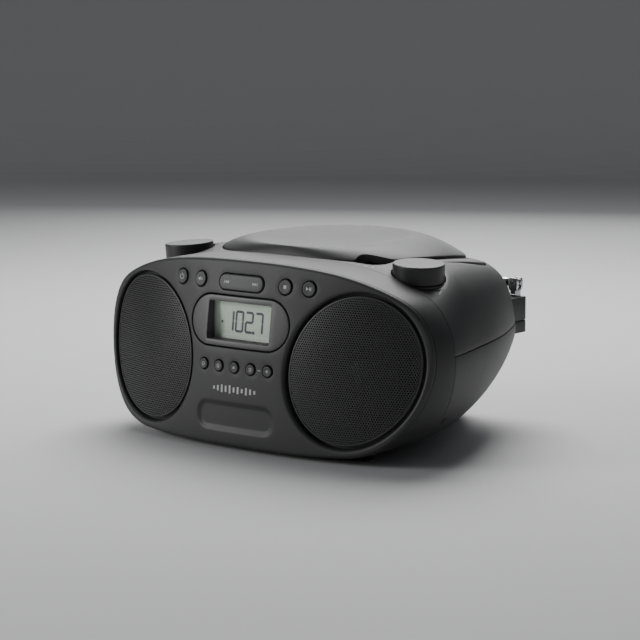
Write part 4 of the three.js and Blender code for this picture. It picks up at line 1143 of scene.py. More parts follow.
# ---------------------------------------------------------------- loudspeakers
def grille_depth(side, x, z):
    """A grille follows the bow of the panel and swells forward in its middle."""
    r2 = ((x - side * SPEAKER_X) / SPEAKER_OPENING[0]) ** 2 + (z / SPEAKER_OPENING[1]) ** 2
    return GRILLE_SETBACK - GRILLE_CROWN * np.maximum(0, 1 - r2)


def make_grille(side, word, sizes):
    """A perforated sheet: staggered six-sided cells, each with a round hole whose ring of points is
    joined to the cell's corners and sides, on a sheet that bows with the panel; a rolled rim covers
    the edge."""
    pitch, width = sizes.hole_pitch / MM, sizes.hole_width / MM
    edge = speaker_oval(side, GRILLE_SPREAD - GRILLE_INSET)
    low, high = edge.min(0), edge.max(0)
    rows = np.arange(low[1], high[1] + pitch, pitch * math.sqrt(3) / 2)
    columns = np.arange(low[0] - pitch, high[0] + pitch, pitch)
    x, z = np.meshgrid(columns, rows)
    x = x + (np.arange(len(rows)) % 2)[:, None] * pitch / 2
    centres = np.stack([x.ravel(), z.ravel()], axis=1)
    centres = centres[crossings(centres, speaker_oval(side, GRILLE_SPREAD - GRILLE_INSET - pitch * 0.62))]
    angle = np.pi / 6 + np.arange(12) * np.pi / 6
    ring = np.stack([np.cos(angle), np.sin(angle)], axis=1)
    cell = ring * np.where(np.arange(12) % 2 == 0, pitch / math.sqrt(3), pitch / 2)[:, None]
    rings = np.stack([cell, ring * width / 2, ring * width / 2, cell])
    sunk = np.array([0, 0, 0.6, 0.6])
    flat = centres[:, None, None] + rings[None]
    depth = grille_depth(side, flat[..., 0], flat[..., 1]) + sunk[None, :, None]
    points = on_panel(flat[..., 0], flat[..., 1], depth)
    i = np.arange(12)
    strip = np.concatenate([np.stack([r * 12 + i, r * 12 + (i + 1) % 12, (r + 1) * 12 + (i + 1) % 12,
                                      (r + 1) * 12 + i],
                                     axis=1) for r in range(3)])
    body = Body()
    body.patch(points, (strip[None] + np.arange(len(centres))[:, None, None] * 48).reshape(-1, 4))
    sections = [(1.2, 0.0), (1.0, -0.06), (0.4, -0.06), (0.1, 0.1), (0, 0.4), (0, 1.6), (0.5, 1.6),
                (0.6, 0.75), (1.2, 0.75)]
    band = carried(edge, sections, -1)
    depth = grille_depth(side, band[..., 0], band[..., 1]) + band[..., 2]
    body.grid(on_panel(band[..., 0], band[..., 1], depth), round_v=True)
    return body.piece(word + "_grille_sheet", "case", finish("grille_metal"), [word + "_grille"],
                      "grille_metal")


def make_driver(side, word):
    """The loudspeaker behind a grille: a pressed basket with its magnet, and a ribbed paper cone with a
    roll round its edge and a dome in its middle, both turned about the line square to the panel."""
    place = facing(side * SPEAKER_X, 0)
    rim = -GRILLE_SETBACK - 2.6
    r = CONE_RADIUS
    basket = Body()
    profile = ([(0.01, rim - 36), (23, rim - 36)] + arc(23, rim - 35, 1, -90, 0, 4) + [(24, rim - 24.5),
                                                            (23.5, rim - 24), (18, rim - 24),
               (r + 3.4, rim - 9), (r + 6, rim - 6), (r + 6, rim - 4.4)] + arc(r + 5.6, rim - 4.4, 0.4, 0,
                                                            90, 4)
               + [(r + 2, rim - 4), (r + 1.6, rim - 4.4), (r + 1.6, rim - 7.5), (15, rim - 22),
                  (0.01, rim - 22)])
    basket.grid(turned(profile, place, 96))
    basket.piece(word + "_speaker_basket", "case", finish("basket_black"), [word + "_speaker"], "steel")
    cone = Body()
    dome = [(9 * t, rim - 14 + 4.6 * math.sqrt(max(0, 1 - t * t))) for t in np.linspace(0.001, 1, 12)]
    u = np.linspace(0, 1, 40)
    slope = [(9.3 + (r - 4.6 - 9.3) * t, rim - 14 + 9.2 * t**1.25 + 0.16 * math.sin(t * 40)) for t in u]
    roll = [(r - 2.4 - 2.0 * math.cos(a), rim - 4.8 + 1.5 * math.sin(a)) for a in np.linspace(0, np.pi, 12)]
    under = [(r, rim - 5.2), (r - 3.4, rim - 6), (11, rim - 16.5), (0.001, rim - 16.5)]
    cone.grid(turned(slope + roll + under, place, 96))
    cap = Body()
    cap.grid(turned(dome + [(9, rim - 16), (0.001, rim - 16)], place, 48))
    cap.piece(word + "_dust_cap", word + "_cone_body", finish("dust_cap"))
    cone.piece(word + "_paper_cone", word + "_cone_body", finish("cone_paper"), [word + "_cone"],
               "cone_paper")


# ---------------------------------------------------------------- buttons and symbols
def stroke(points, width):
    """Outline of a line of that width drawn through points."""
    p = np.array(points, float)
    d = np.gradient(p, axis=0)
    d /= np.linalg.norm(d, axis=1, keepdims=True)
    n = np.stack([-d[:, 1], d[:, 0]], axis=1) * width / 2
    return np.vstack([p + n, (p - n)[::-1]])


def circle_line(radius, start, end, width, x=0.0, y=0.0):
    return stroke(arc(x, y, radius, start, end, 25), width)


def bar(x, y, width, height):
    return np.array([(x - width / 2, y - height / 2), (x + width / 2, y - height / 2),
                     (x + width / 2, y + height / 2),
                     (x - width / 2, y + height / 2)])


def arrow(x, y, width, height):
    """Triangle that points along +X when its width is positive."""
    return np.array([(x - width / 2, y - height / 2), (x + width / 2, y), (x - width / 2, y + height / 2)])


def prisms(body, at, shapes, high=0.05, low=-0.06):
    """Thin flat pieces of ink: each shape's top and bottom are filled and its edge joins them."""
    for shape in shapes:
        walls = np.stack([np.column_stack([shape, np.full(len(shape), h)]) for h in (high, low)])
        body.grid(at(walls[..., 0], walls[..., 1], walls[..., 2]))
        for h in (high, low):
            flat, faces = triangles_between(shape, [], 50.0)
            body.patch(at(flat[:, 0], flat[:, 1], np.full(len(flat), float(h))), faces)


def on_cap(place, lift):
    """Sets flat drawings on a button: X to the right, Y up the panel, h above the cap."""
    def at(x, y, h):
        return moved(np.stack([x, y, lift + h], axis=-1), place)
    return at


SYMBOLS = {
    "power_button": [circle_line(1.75, 125, 415, 0.42), bar(0, 1.35, 0.42, 1.9)],
    "mute_button": [
        np.array([(-1.9, -0.6), (-1.1, -0.6), (-0.1, -1.5), (-0.1, 1.5), (-1.1, 0.6), (-1.9, 0.6)]),
        stroke([(0.5, -0.8), (2.0, 0.8)], 0.38), stroke([(0.5, 0.8), (2.0, -0.8)], 0.38)],
    "stop_button": [bar(0, 0, 2.3, 2.3)],
    "play_button": [arrow(-1.1, 0, 2.0, 2.4), bar(0.65, 0, 0.5, 2.3), bar(1.6, 0, 0.5, 2.3)],
    "clock_key": [circle_line(1.15, 0, 359.9, 0.3), stroke([(0, 0.7), (0, 0), (0.55, -0.25)], 0.26)],
    "disc_key": [circle_line(1.2, 0, 359.9, 0.28), circle_line(0.4, 0, 359.9, 0.26)],
    "radio_key": [bar(-0.9, -0.25, 0.36, 1.1), bar(-0.3, 0, 0.36, 1.6), bar(0.3, 0.25, 0.36, 2.1),
                  bar(0.9, -0.1, 0.36, 1.4)],
    "input_key": [circle_line(1.15, 200, 520, 0.28), arrow(0.1, 0, 1.0, 1.1)],
    "memory_key": [bar(0, -0.55, 1.7, 0.34), bar(0, 0.05, 1.7, 0.34), bar(0, 0.65, 1.7, 0.34)],
}


def make_button(name, x, z, radius):
    """A turned cap with a soft edge and a faint hollow, its retaining flange and stem, and its printed
    symbol."""
    place = facing(x, z)
    reach = (21 - bow(x, z)) / -place[1, 2] - 1 - 0.9
    back = -WALL - 1
    profile = ([(0.01, 0.82), (radius * 0.45, 0.86), (radius - 0.9, 1.0)] + arc(radius - 0.6, 0.45, 0.55,
                                                            80, 0, 7)
               + [(radius, back), (radius + 1.4, back), (radius + 1.4, back - 1), (1.6, back - 1),
                  (1.6, -reach), (0.01, -reach)])
    body = Body()
    body.grid(turned(profile, place, 48))
    body.piece(name + "_cap", name + "_body", finish("button_plastic"), [name], "case_plastic")
    ink = Body()
    prisms(ink, on_cap(place, 0.9), SYMBOLS[name], 0.06, -0.2)
    ink.piece(name + "_symbol", name + "_body", finish("print_ink"))


def make_rocker():
    """The rocker for the tracks: a stadium with a soft edge over its flange, and two pairs of arrows."""
    def at(x, z, depth):
        return on_panel(x, z + BUTTON_Z, depth)

    body = Body()
    moulding(body, at, stadium(*ROCKER_SIZE), rim_rows(0.8, WALL + 2.3, 0.1), (), 2.5, 6.0)
    moulding(body, lambda x, z, d: at(x, z, d + WALL + 1.95), stadium(ROCKER_SIZE[0] + 2,
                                                            ROCKER_SIZE[1] + 2.6),
             rim_rows(0.2, 0.95, 0.1, 3), (), 4.0, 6.0)
    for patch in body.points:
        patch[:, 1] -= 0.9
    body.piece("skip_rocker_cap", "rocker_body", finish("button_plastic"), ["skip_rocker"], "case_plastic")
    ink = Body()
    for side in (-1, 1):
        shapes = [arrow(side * 11.4, 0, side * 1.9, 2.2), arrow(side * 13.2, 0, side * 1.9, 2.2),
                  bar(side * 14.5, 0, 0.42, 2.2)]
        prisms(ink, lambda x, z, h: at(x, z, -0.9 - h), shapes)
    ink.piece("skip_symbols", "rocker_body", finish("print_ink"))


def make_prints():
    """Ink on the case: a row of bars of uneven heights below the keys, a dash between two keys, a tick
    beside the right knob and two dots before the thumb notch."""
    heights = (2.2, 3.6, 5.2, 4.2, 5.7, 3.4, 4.8, 2.8, 5.0, 3.8, 2.4)
    bars = [bar((i - 5) * 3.6, -20, 1.5, h) for i, h in enumerate(heights)]
    body = Body()
    prisms(body, lambda x, z, h: on_panel(x, z, -h), [*bars, bar(1.5 * KEY_PITCH, KEY_Z, 2.2, 0.5)])

    def on_top(x, y, h):
        s, v = case_place(x, y)
        return on_case(s, v, -h)

    tick = stroke([(121.0, 70.5), (123.0, 66.0), (124.2, 62.5)], 1.0)
    prisms(body, on_top, [tick, circle_line(1.1, 0, 359.9, 0.45, 68.5, 55.0), bar(73.5, 57.0, 1.4, 1.4)])
    body.piece("printed_marks", "case", finish("print_ink"))


# ---------------------------------------------------------------- display
LCD_FRONT = bow(WINDOW_SIZE[0] / 2 + 1.5, DISPLAY_Z + WINDOW_SIZE[1] / 2 + 1.5) + WINDOW_DEPTH + GAP
SEGMENTS = {"0": "abcdef", "1": "bc", "2": "abdeg", "7": "abc"}


def make_bezel():
    """The display's surround: a smooth stadium with a soft edge; the walls of its window run back to the
    glass."""
    outline = stadium(DISPLAY_SIZE[0] - 1.8, DISPLAY_SIZE[1] - 1.8, 0, DISPLAY_Z, 200)
    window = rounded(*WINDOW_SIZE, 0.8, 0, DISPLAY_Z, 240)

    def at(x, z, depth):
        return on_panel(x, z, depth + 0.1)

    body = Body()
    moulding(body, at, outline, rim_rows(0.5, WALL, 0.1), [(window, quarter(0.35, 4) + [(0, WALL)], None)],
             3.0)
    body.piece("display_surround", "case", finish("dark_gloss"), ["display_bezel"], "dark_gloss")
    wall = Body()
    rows = []
    for grow, y in ((-0.05, None), (-0.05, LCD_FRONT - 0.05), (1.2, LCD_FRONT - 0.05), (1.2, None)):
        loop = window + normals_of(window) * grow
        front = on_panel(loop[:, 0], loop[:, 1], 0.6)
        if y is not None:
            front[:, 1] = y
        rows.append(front)
    wall.grid(np.stack(rows), round_v=True)
    wall.piece("display_window_walls", "case", finish("window_wall"))


def plane_box(x0, x1, z0, z1, y0, y1, name, body_name, material, node, slot):
    """A sheet between two upright planes with small round edges."""
    outline = rounded(x1 - x0, z1 - z0, 0.8, (x0 + x1) / 2, (z0 + z1) / 2, 120)

    def at(x, z, depth):
        return np.stack([x, np.full_like(x, y0) + depth, z], axis=-1)

    body = Body()
    moulding(body, at, outline, rim_rows(0.15, y1 - y0, 0.1, 3), (), 6.0, 12.0)
    body.piece(name, body_name, finish(material), [node], slot)


def make_display(sizes):
    """The glass, the liquid crystal panel behind it and slanting seven-stroke digits on its face."""
    half_w, half_h = WINDOW_SIZE[0] / 2, WINDOW_SIZE[1] / 2
    z0, z1 = DISPLAY_Z - half_h, DISPLAY_Z + half_h
    plane_box(-half_w - 1, half_w + 1, z0 - 1, z1 + 1, LCD_FRONT, LCD_FRONT + 1, "display_glass", "case",
              "window", "display_lens", "window")
    face = LCD_FRONT + 1 + GAP
    plane_box(-half_w - 2, half_w + 2, z0 - 2, z1 + 2, face, face + 2, "display_panel", "case", "lcd",
              "lcd_panel", "lcd")
    high = sizes.digit_height / MM
    wide, thick, slant = high * 0.44, high * 0.125, 0.1
    strokes = {
        "a": (0.5, 1.0, True), "g": (0.5, 0.5, True), "d": (0.5, 0.0, True),
        "f": (0.0, 0.75, False), "b": (1.0, 0.75, False), "e": (0.0, 0.25, False), "c": (1.0, 0.25, False)}
    shapes = []

    def stick(x, z, length, level):
        h, t = length / 2, thick / 2
        p = np.array([(-h, 0), (-h + t, -t), (h - t, -t), (h, 0), (h - t, t), (-h + t, t)])
        return (p if level else p[:, ::-1]) + (x, z)

    for i, digit in enumerate("1027"):
        left = 14.6 - wide - (3 - i) * high * 0.64
        for name in SEGMENTS[digit]:
            x, z, level = strokes[name]
            length = (wide if level else high / 2) + thick * 0.35
            shapes.append(stick(left + x * wide, z * high, length, level))
    shapes.append(bar(14.6 - wide - high * 0.11, 0, thick * 1.2, thick * 1.2))
    shapes.append(bar(-21.0, high * 0.42, 1.6, 1.6))
    shapes = [np.column_stack([p[:, 0] + (p[:, 1] - high / 2) * slant,
                               p[:, 1] + DISPLAY_Z - high * 0.56]) for p in shapes]
    body = Body()
    prisms(body, lambda x, z, h: np.stack([x, face - h, z], axis=-1), shapes, 0.04, -0.05)
    body.piece("display_digits", "case", finish("lcd_digit"))


# ---------------------------------------------------------------- knobs
def make_knob(side, name, body_name):
    """A turned knob with a flat top, a soft shoulder and a thin step at its foot."""
    place = knob_place(side)
    r, h = KNOB_RADIUS, KNOB_HEIGHT
    profile = ([(0.01, 0), (r - 4, 0), (r - 1.4, -0.03)] + arc(r - 1.1, -1.13, 1.1, 90, 0, 10)
               + [(r, -3), (r, -h + 1.2), (r - 0.25, -h + 1.0), (r - 0.25, -h + 0.1), (r - 0.5, -h),
                  (3.6, -h), (3.3, -h + 0.3),
                  (3.3, KNOB_SEAT + 8.4), (0.01, KNOB_SEAT + 8.4)])
    body = Body()
    body.grid(turned(profile, place, 128))
    body.piece(name + "_turned", body_name, finish("knob_plastic"), [name], "case_plastic")


# ---------------------------------------------------------------- disc deck
def make_deck():
    """The deck under the lid: a plate round the disc's well, and the well's floor with the opening for
    hub and laser. The well's edge is a quarter circle."""
    angle = np.arange(512) * 2 * np.pi / 512
    outline = about_lid(angle, lid_radius(angle, LID_RUN - GAP))
    back = np.abs(outline[:, 0]) < HINGE_HALF + 2
    outline[:, 1] = np.where(back, np.minimum(outline[:, 1], HINGE_Y - 5), outline[:, 1])
    outline = evenly(outline, 420)
    well = DISC_RADIUS + 2.5

    def at(x, y, depth):
        return np.stack([x, y, DECK_TOP - depth], axis=-1)

    body = Body()
    moulding(body, at, outline, rim_rows(0.5, DECK_TOP - DECK_Z + DECK_THICK, 0.2),
             [(oval(well, well, 0, LID_CENTRE_Y, count=256),
               quarter(0.9, 6) + [(0, DECK_TOP - DECK_Z + DECK_THICK)], None)], 4.0, 8.0)
    hub, slot = HUB_RADIUS + 1.5, 7.0
    near_end = LID_CENTRE_Y - 23 - SLED_TRAVEL - 6
    open_half = math.degrees(math.asin(slot / hub))
    keyhole = arc(0, LID_CENTRE_Y, hub, -90 + open_half, 270 - open_half, 60)
    keyhole += arc(-slot + 2, near_end + 2, 2, 180, 270, 7) + arc(slot - 2, near_end + 2, 2, 270, 360, 7)
    low = lambda x, y, d: at(x, y, d + DECK_TOP - DECK_Z)
    moulding(body, low, oval(well + 0.4, well + 0.4, 0, LID_CENTRE_Y, count=256), rim_rows(0.1, DECK_THICK,
                                                            0.1, 3),
             [(evenly(np.array(keyhole), 240), quarter(0.4, 4) + [(0, DECK_THICK)], None)], 4.0, 8.0)
    body.piece("disc_deck_moulding", "case", finish("case_plastic"), ["disc_deck"], "case_plastic")


def upright(x, y, z=0.0):
    place = np.identity(4)
    place[:3, 3] = (x, y, z)
    return place


def make_hub_and_clamp():
    """The turned hub that a disc sits on, with a soft pad, and the clamp that hangs in the lid."""
    body = Body()
    profile = ([(0.01, 5.5), (4.4, 5.5)] + arc(4.4, 4.9, 0.6, 90, 30, 4) + [(7.0, 4.2), (7.3, 3.6),
                                                            (7.3, 1.9), (HUB_RADIUS - 0.3, 1.9),
               (HUB_RADIUS, 1.6), (HUB_RADIUS, 0.5), (3, 0.5), (3, -3), (0.01, -3)])
    body.grid(turned(profile, upright(0, LID_CENTRE_Y, DECK_Z), 72))
    body.piece("turntable_hub_turned", "turntable_body", finish("dark_gloss"), ["turntable_hub"],
               "dark_gloss")
    seat = LID_DISH[2] - WALL
    r, z = HUB_RADIUS - 1, DECK_Z + 6.6
    clamp = Body()
    profile = [(0.01, seat - 2), (3.7, seat - 2), (4, seat - 2.3), (4, seat - 6.6), (r - 0.4, seat - 6.6),
               (r, seat - 7), (r, z + 1.9),
               (r - 0.3, z + 1.6), (8.5, z), (0.01, z)]
    clamp.grid(turned(profile, upright(0, LID_CENTRE_Y), 72))
    clamp.piece("disc_clamp_turned", "clamp_body", finish("dark_gloss"), ["disc_clamp"], "dark_gloss")


# ---------------------------------------------------------------- underside and back
def make_battery_door():
    """The battery door: a plate with round edges and a thumb recess of ribs."""
    outline = rounded(DOOR[0] - 2 * RUN, DOOR[1] - 2 * RUN, 2.6, 0, DOOR[2], 240)
    face = FLOOR_Z + 3.2

    def at(x, y, depth):
        return np.stack([x, y, face + depth], axis=-1)

    body = Body()
    moulding(body, at, outline, rim_rows(0.4, WALL, 0.2, 5), (), 5.0, 9.0)
    for i in range(7):
        rib = stadium(26, 1.4, 0, DOOR[2] + DOOR[1] / 2 - 7 - 2.4 * i, 48)
        moulding(body, lambda x, y, d: at(x, y, d - 0.45), rib, quarter(0.5, 5) + [(0, 0.8)], (), 3.0)
    body.piece("battery_door_plate", "door_body", finish("case_plastic"), ["battery_door"], "case_plastic")


def make_feet():
    """Soft turned feet, each with a fine groove round its pad."""
    for name, x, y in FEET:
        r = FOOT_RADIUS
        profile = ([(0.01, 0), (r - 2.4, 0), (r - 2.2, 0.25), (r - 2.0, 0), (r - 0.8, 0)] + arc(r - 0.8,
                                                            0.8, 0.8, -90, 0, 6)
                   + [(r, 5.2), (r - 0.2, 5.4), (0.01, 5.4)])
        body = Body()
        body.grid(turned(profile, upright(x, y, FLOOR_Z), 48))
        body.piece(name + "_pad", "case", finish("rubber"), [name], "rubber")


def make_inlet():
    """The mains inlet: a block with a deep recess and two pins."""
    outline = rounded(INLET[0] - 2 * GAP, INLET[1] - 2 * GAP, 1.6, INLET[2], INLET[3], 120)
    recess = stadium(INLET[0] - 7, INLET[1] - 8, INLET[2], INLET[3], 100)
    deep = 16.5

    def at(x, z, depth):
        return np.stack([x, REAR_FACE - 0.5 - depth, z], axis=-1)

    body = Body()
    moulding(body, at, outline, rim_rows(0.5, deep, 0.1), [(recess, quarter(0.4, 5) + [(0, deep)], None)],
             3.0)
    moulding(body, lambda x, z, d: at(x, z, d + deep - 0.1), outline, rim_rows(0.1, 5.0, 0.4, 3), (), 6.0)
    body.piece("mains_inlet_block", "case", finish("dark_gloss"), ["mains_inlet"], "dark_gloss")
    pins = Body()
    for x in (-4, 4):
        place = toward((INLET[2] + x, REAR_FACE - 17.2, INLET[3]), (0, 1, 0))
        pins.grid(turned([(0.01, 0), (1.15, 0), (1.15, 11)] + arc(0.35, 11, 0.8, 0, 90, 5) + [(0.01, 11.8)],
                         place, 24))
    pins.piece("mains_inlet_pins", "case", finish("steel"))


def toward(start, axis):
    """Place whose Z runs along an axis."""
    turn = Vector((0, 0, 1)).rotation_difference(Vector(axis)).to_matrix().to_4x4()
    return np.array(Matrix.Translation(start) @ turn)


# ---------------------------------------------------------------- antenna
def make_antenna():
    """The rod antenna: four tubes that slide in one another, each turned in at its mouth, a ball at the
    tip, and the fork and foot that it swings on."""
    base = Body()
    base.grid(turned([(0.01, LEDGE_TOP - 7), (4, LEDGE_TOP - 7), (4, LEDGE_TOP + 0.9),
                      (3.7, LEDGE_TOP + 1.2), (0.01, LEDGE_TOP + 1.2)],
                     upright(MAST_X, MAST_Y), 48))
    base.piece("antenna_foot", "case", finish("chrome"), ["antenna_base"], "chrome")
    fork = Body()
    z0, z1 = LEDGE_TOP + 1.5, LEDGE_TOP + 4.5
    fork.grid(turned([(0.01, z0), (3.7, z0), (4, z0 + 0.3), (4, z1 - 0.3), (3.7, z1), (0.01, z1)],
                     upright(MAST_X, MAST_Y), 48))
    foot, top = LEDGE_TOP + 4.2, MAST_Z + 4
    cheek = rounded(7.6, top - foot, 2.6, MAST_X, (foot + top) / 2, 96)
    for y in (-4.0, 1.9):
        moulding(fork, lambda x, z, d, y=y: np.stack([x, MAST_Y + y + d, z], axis=-1), cheek,
                 rim_rows(0.35, 2.1, 0.35, 4), (), 2.0)
    fork.grid(turned([(0.01, 0), (3.2, 0), (3.4, 0.2), (3.4, 7.0), (3.2, 7.2), (0.01, 7.2)],
                     toward((MAST_X, MAST_Y - 3.6, LEDGE_TOP + 5.0), (0, 1, 0)), 32)
              * (1, 1, 0.32) + (0, 0, (LEDGE_TOP + 4.6) * 0.68))
    fork.piece("antenna_fork", "swivel_body", finish("chrome"), ["antenna_yoke"], "chrome")
    pin = Body()
    pin.grid(turned([(0.01, -4.5), (1.5, -4.5), (1.9, -4.1), (1.0, -3.9), (1.0, 3.9), (1.9, 4.1),
                     (1.5, 4.5), (0.01, 4.5)],
                    toward((MAST_X, MAST_Y, MAST_Z), (0, 1, 0)), 24))
    pin.piece("antenna_rivet", "swivel_body", finish("steel"), ["antenna_pin"], "steel")
    for i, r in enumerate(MAST_RADII):
        start, end = 6.4 + 5 * i, MAST_LENGTH + 2.5 * i
        place = toward((MAST_X, MAST_Y, MAST_Z), (-1, 0, 0))
        tube = Body()
        if i + 1 < len(MAST_RADII):
            bore = MAST_RADII[i + 1] + 0.25
            profile = [(bore, start), (r - 0.2, start), (r, start + 0.3), (r, end - 1.6),
                       (r - 0.15, end - 0.5), (r - 0.4, end), (bore, end)]
            tube.grid(turned(profile, place, 40), round_v=True)
        else:
            ball = [(MAST_RADII[0] * math.sin(t),
                     end + 2.6 - MAST_RADII[0] * math.cos(t)) for t in np.linspace(0.5, np.pi - 0.01, 14)]
            tube.grid(turned([(0.01, start), (r - 0.2, start), (r, start + 0.2), (r, end - 0.4), *ball],
                             place, 40))
        if i == 0:
            eye = rounded(10.6, 5.2, 2.2, MAST_X - 2.7, MAST_Z, 96)
            moulding(tube, lambda x, z, d: np.stack([x, MAST_Y - 1.5 + d, z], axis=-1), eye,
                     rim_rows(0.3, 3.0, 0.3, 4), (), 2.0)
        node = "antenna_section_%d" % (i + 1)
        tube.piece(node + "_tube", "mast_%d" % (i + 1), finish("chrome"), [node], "chrome")


def finish_inner_pieces():
    """The pieces inside the case keep their frame shapes and get their finishes."""
    paint_cad("circuit_board", "key_board", "main_board")
    paint_cad("steel", "transformer", "spindle_motor", "left_guide_rod", "right_guide_rod", "lid_hinge_pin",
              "left_handle_pin", "right_handle_pin", "volume_pot", "tuning_encoder")
    paint_cad("case_plastic", "battery_tray", "drive_chassis")
    paint_cad("dark_gloss", "laser_sled")


# ---------------------------------------------------------------- stage
def look_at(position, target):
    return (Vector(target) - Vector(position)).to_track_quat("-Z", "Y").to_euler()


def area_light(name, position, target, size, power, colour=(1, 1, 1)):
    data = bpy.data.lights.new(name, "AREA")
    data.shape, data.size, data.size_y = "RECTANGLE", size[0], size[1]
    data.energy, data.color = power, colour
    lamp = bpy.data.objects.new(name, data)
    lamp.location, lamp.rotation_euler = position, look_at(position, target)
    bpy.context.scene.collection.objects.link(lamp)


def make_stage():
    """A pale floor that rises smoothly all round, far away, soft lights and the camera."""
    scene = bpy.context.scene
    low, high = CAD_BOX
    width = high.x - low.x
    centre = (Vector(low) + Vector(high)) / 2
    span = np.linspace(-1, 1, 120) * width * 16
    u, v = np.meshgrid(span, span)
    lift = 4 * width * smooth((np.hypot(u, v) / width - 7.5) / 7)
    points = np.stack([u, v, lift + low.z], axis=-1)
    body = Body()
    body.grid((points - ORIGIN) / MM, round_u=False)
    mesh = bpy.data.meshes.new("floor")
    mesh.from_pydata((ORIGIN + np.vstack(body.points) * MM).tolist(), [], body.faces)
    paint = Paint("floor_paper")
    fibre = paint.noise(0.004, 3.0)
    mesh.materials.append(paint.finish(
        Base_Color=paint.mix(fibre, (0.6, 0.6, 0.6, 1), (0.63, 0.63, 0.63, 1)), Roughness=0.75 + fibre * 0.1,
        Normal=paint.bump(fibre, 0.00005)))
    floor = bpy.data.objects.new("floor", mesh)
    scene.collection.objects.link(floor)

    azimuth, rise, distance = math.radians(41), math.radians(9.3), 1.5
    back = Vector((math.sin(azimuth) * math.cos(rise), -math.cos(azimuth) * math.cos(rise), math.sin(rise)))
    right = Vector((math.cos(azimuth), math.sin(azimuth), 0))
    up = back.cross(right)
    panel = Vector(ORIGIN)
    data = bpy.data.cameras.new("camera")
    data.sensor_width, data.lens = 36.0, 125.0
    camera = bpy.data.objects.new("camera", data)
    camera.location = panel + back * distance
    aim = panel + right * 0.0577 + up * 0.027
    camera.rotation_euler = look_at(camera.location, aim)
    scene.collection.objects.link(camera)
    scene.camera = camera

    world = bpy.data.worlds.new("studio")
    world.use_nodes = True
    background = world.node_tree.nodes["Background"]
    background.inputs["Color"].default_value = (0.9, 0.94, 1.0, 1)
    background.inputs["Strength"].default_value = 0.12
    scene.world = world
    area_light("top_softbox", centre + Vector((-0.35, 0.5, 0.95)), centre, (0.9, 0.9), 21)
    area_light("front_fill", centre + Vector((-1.1, -1.3, 0.5)), centre, (0.7, 0.7), 13)
    area_light("rear_strip", centre + Vector((-0.8, 1.3, 0.4)), centre, (1.0, 0.35), 3)


# ---------------------------------------------------------------- add-on
class DISCPLAYER_OT_fascia(bpy.types.Operator):
    """Builds the front panel"""

    bl_idname = "disc_player.fascia"
    bl_label = "Front panel"

    def execute(self, context):
        make_fascia(context.scene.disc_player_sizes)
        return {"FINISHED"}


class DISCPLAYER_OT_case(bpy.types.Operator):
    """Builds the front frame and the two rear mouldings"""

    bl_idname = "disc_player.case"
    bl_label = "Case mouldings"

    def execute(self, context):
        sizes = context.scene.disc_player_sizes
        make_front_frame(sizes)
        make_upper_shell(sizes)
        make_lower_shell(sizes)
        return {"FINISHED"}


class DISCPLAYER_OT_lid(bpy.types.Operator):
    """Builds the lid over the disc"""

    bl_idname = "disc_player.lid"
    bl_label = "Lid"

    def execute(self, context):
        make_lid()
        return {"FINISHED"}


class DISCPLAYER_OT_handle(bpy.types.Operator):
    """Builds the carry handle"""

    bl_idname = "disc_player.handle"
    bl_label = "Carry handle"

    def execute(self, context):
        make_handle()
        return {"FINISHED"}


class DISCPLAYER_OT_loudspeakers(bpy.types.Operator):
    """Builds both grilles and the drivers behind them"""

    bl_idname = "disc_player.loudspeakers"
    bl_label = "Loudspeakers"

    def execute(self, context):
        for side, word in ((-1, "left"), (1, "right")):
            make_grille(side, word, context.scene.disc_player_sizes)
            make_driver(side, word)
        return {"FINISHED"}


class DISCPLAYER_OT_buttons(bpy.types.Operator):
    """Builds the buttons, keys, rocker and printed marks"""

    bl_idname = "disc_player.buttons"
    bl_label = "Buttons and marks"

    def execute(self, context):
        near, far = BUTTON_X
        spots = {"power_button": -far, "mute_button": -near, "stop_button": near, "play_button": far}
        for name, x in spots.items():
            make_button(name, x, BUTTON_Z, BUTTON_RADIUS)
        for i, word in enumerate(("clock", "disc", "radio", "input", "memory")):
            make_button(word + "_key", (i - 2) * KEY_PITCH, KEY_Z, KEY_RADIUS)
        make_rocker()
        make_prints()
        return {"FINISHED"}


class DISCPLAYER_OT_display(bpy.types.Operator):
    """Builds the display with its surround and digits"""

    bl_idname = "disc_player.display"
    bl_label = "Display"

    def execute(self, context):
        make_bezel()
        make_display(context.scene.disc_player_sizes)
        return {"FINISHED"}


class DISCPLAYER_OT_knobs(bpy.types.Operator):
    """Builds the volume and tuning knobs"""

    bl_idname = "disc_player.knobs"
    bl_label = "Knobs"

    def execute(self, context):
        make_knob(-1, "volume_knob", "volume_body")
        make_knob(1, "tuning_knob", "tuning_body")
        return {"FINISHED"}


class DISCPLAYER_OT_disc_drive(bpy.types.Operator):
    """Builds the deck, hub and clamp under the lid"""

    bl_idname = "disc_player.disc_drive"
    bl_label = "Disc drive"

    def execute(self, context):
        make_deck()
        make_hub_and_clamp()
        return {"FINISHED"}


class DISCPLAYER_OT_underside(bpy.types.Operator):
    """Builds the battery door, feet and mains inlet"""

    bl_idname = "disc_player.underside"
    bl_label = "Underside and back"

    def execute(self, context):
        make_battery_door()
        make_feet()
        make_inlet()
        return {"FINISHED"}


class DISCPLAYER_OT_antenna(bpy.types.Operator):
    """Builds the rod antenna"""

    bl_idname = "disc_player.antenna"
    bl_label = "Antenna"

    def execute(self, context):
        make_antenna()
        return {"FINISHED"}


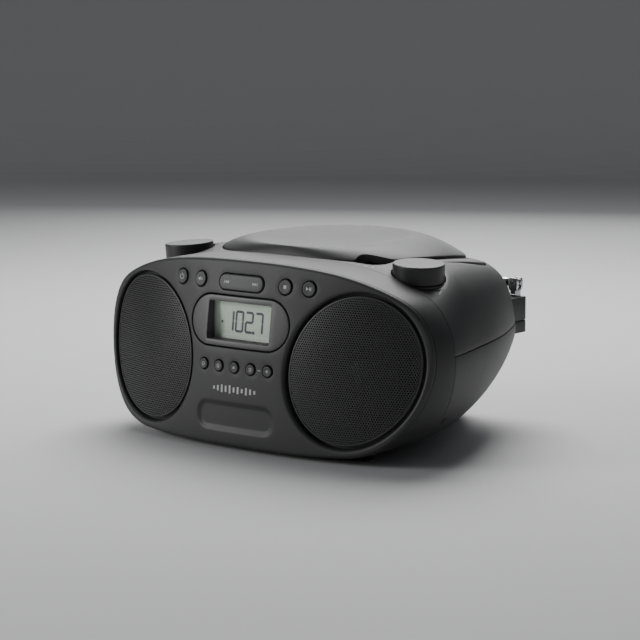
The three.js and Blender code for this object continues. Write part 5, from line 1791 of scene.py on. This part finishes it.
class DISCPLAYER_OT_inner_pieces(bpy.types.Operator):
    """Gives the pieces inside the case their finishes"""

    bl_idname = "disc_player.inner_pieces"
    bl_label = "Inner pieces"

    def execute(self, context):
        finish_inner_pieces()
        return {"FINISHED"}


class DISCPLAYER_OT_stage(bpy.types.Operator):
    """Builds the floor, the lights and the camera"""

    bl_idname = "disc_player.stage"
    bl_label = "Stage"

    def execute(self, context):
        make_stage()
        return {"FINISHED"}


STEPS = (
    DISCPLAYER_OT_fascia, DISCPLAYER_OT_case, DISCPLAYER_OT_lid, DISCPLAYER_OT_handle,
         DISCPLAYER_OT_loudspeakers,
    DISCPLAYER_OT_buttons, DISCPLAYER_OT_display, DISCPLAYER_OT_knobs, DISCPLAYER_OT_disc_drive,
    DISCPLAYER_OT_underside, DISCPLAYER_OT_antenna, DISCPLAYER_OT_inner_pieces, DISCPLAYER_OT_stage,
)


class DISCPLAYER_PT_panel(bpy.types.Panel):
    """Lists the pieces of the disc player"""

    bl_label = "Disc player"
    bl_idname = "DISCPLAYER_PT_panel"
    bl_space_type = "VIEW_3D"
    bl_region_type = "UI"
    bl_category = "Disc player"

    def draw(self, context):
        for group in (context.scene.disc_player_sizes, context.scene.disc_player_finish):
            column = self.layout.column(align=True)
            for name in group.bl_rna.properties.keys():
                if name not in ("rna_type", "name"):
                    column.prop(group, name)
        column = self.layout.column()
        for step in STEPS:
            column.operator(step.bl_idname)


CLASSES = (DiscPlayerSizes, DiscPlayerFinish, *STEPS, DISCPLAYER_PT_panel)


def register():
    for kind in CLASSES:
        bpy.utils.register_class(kind)
    bpy.types.Scene.disc_player_sizes = PointerProperty(type=DiscPlayerSizes)
    bpy.types.Scene.disc_player_finish = PointerProperty(type=DiscPlayerFinish)


def unregister():
    del bpy.types.Scene.disc_player_finish
    del bpy.types.Scene.disc_player_sizes
    for kind in reversed(CLASSES):
        bpy.utils.unregister_class(kind)


def main():
    register()
    for step in STEPS:
        group, name = step.bl_idname.split(".")
        getattr(getattr(bpy.ops, group), name)()


if __name__ == "__main__":
    main()
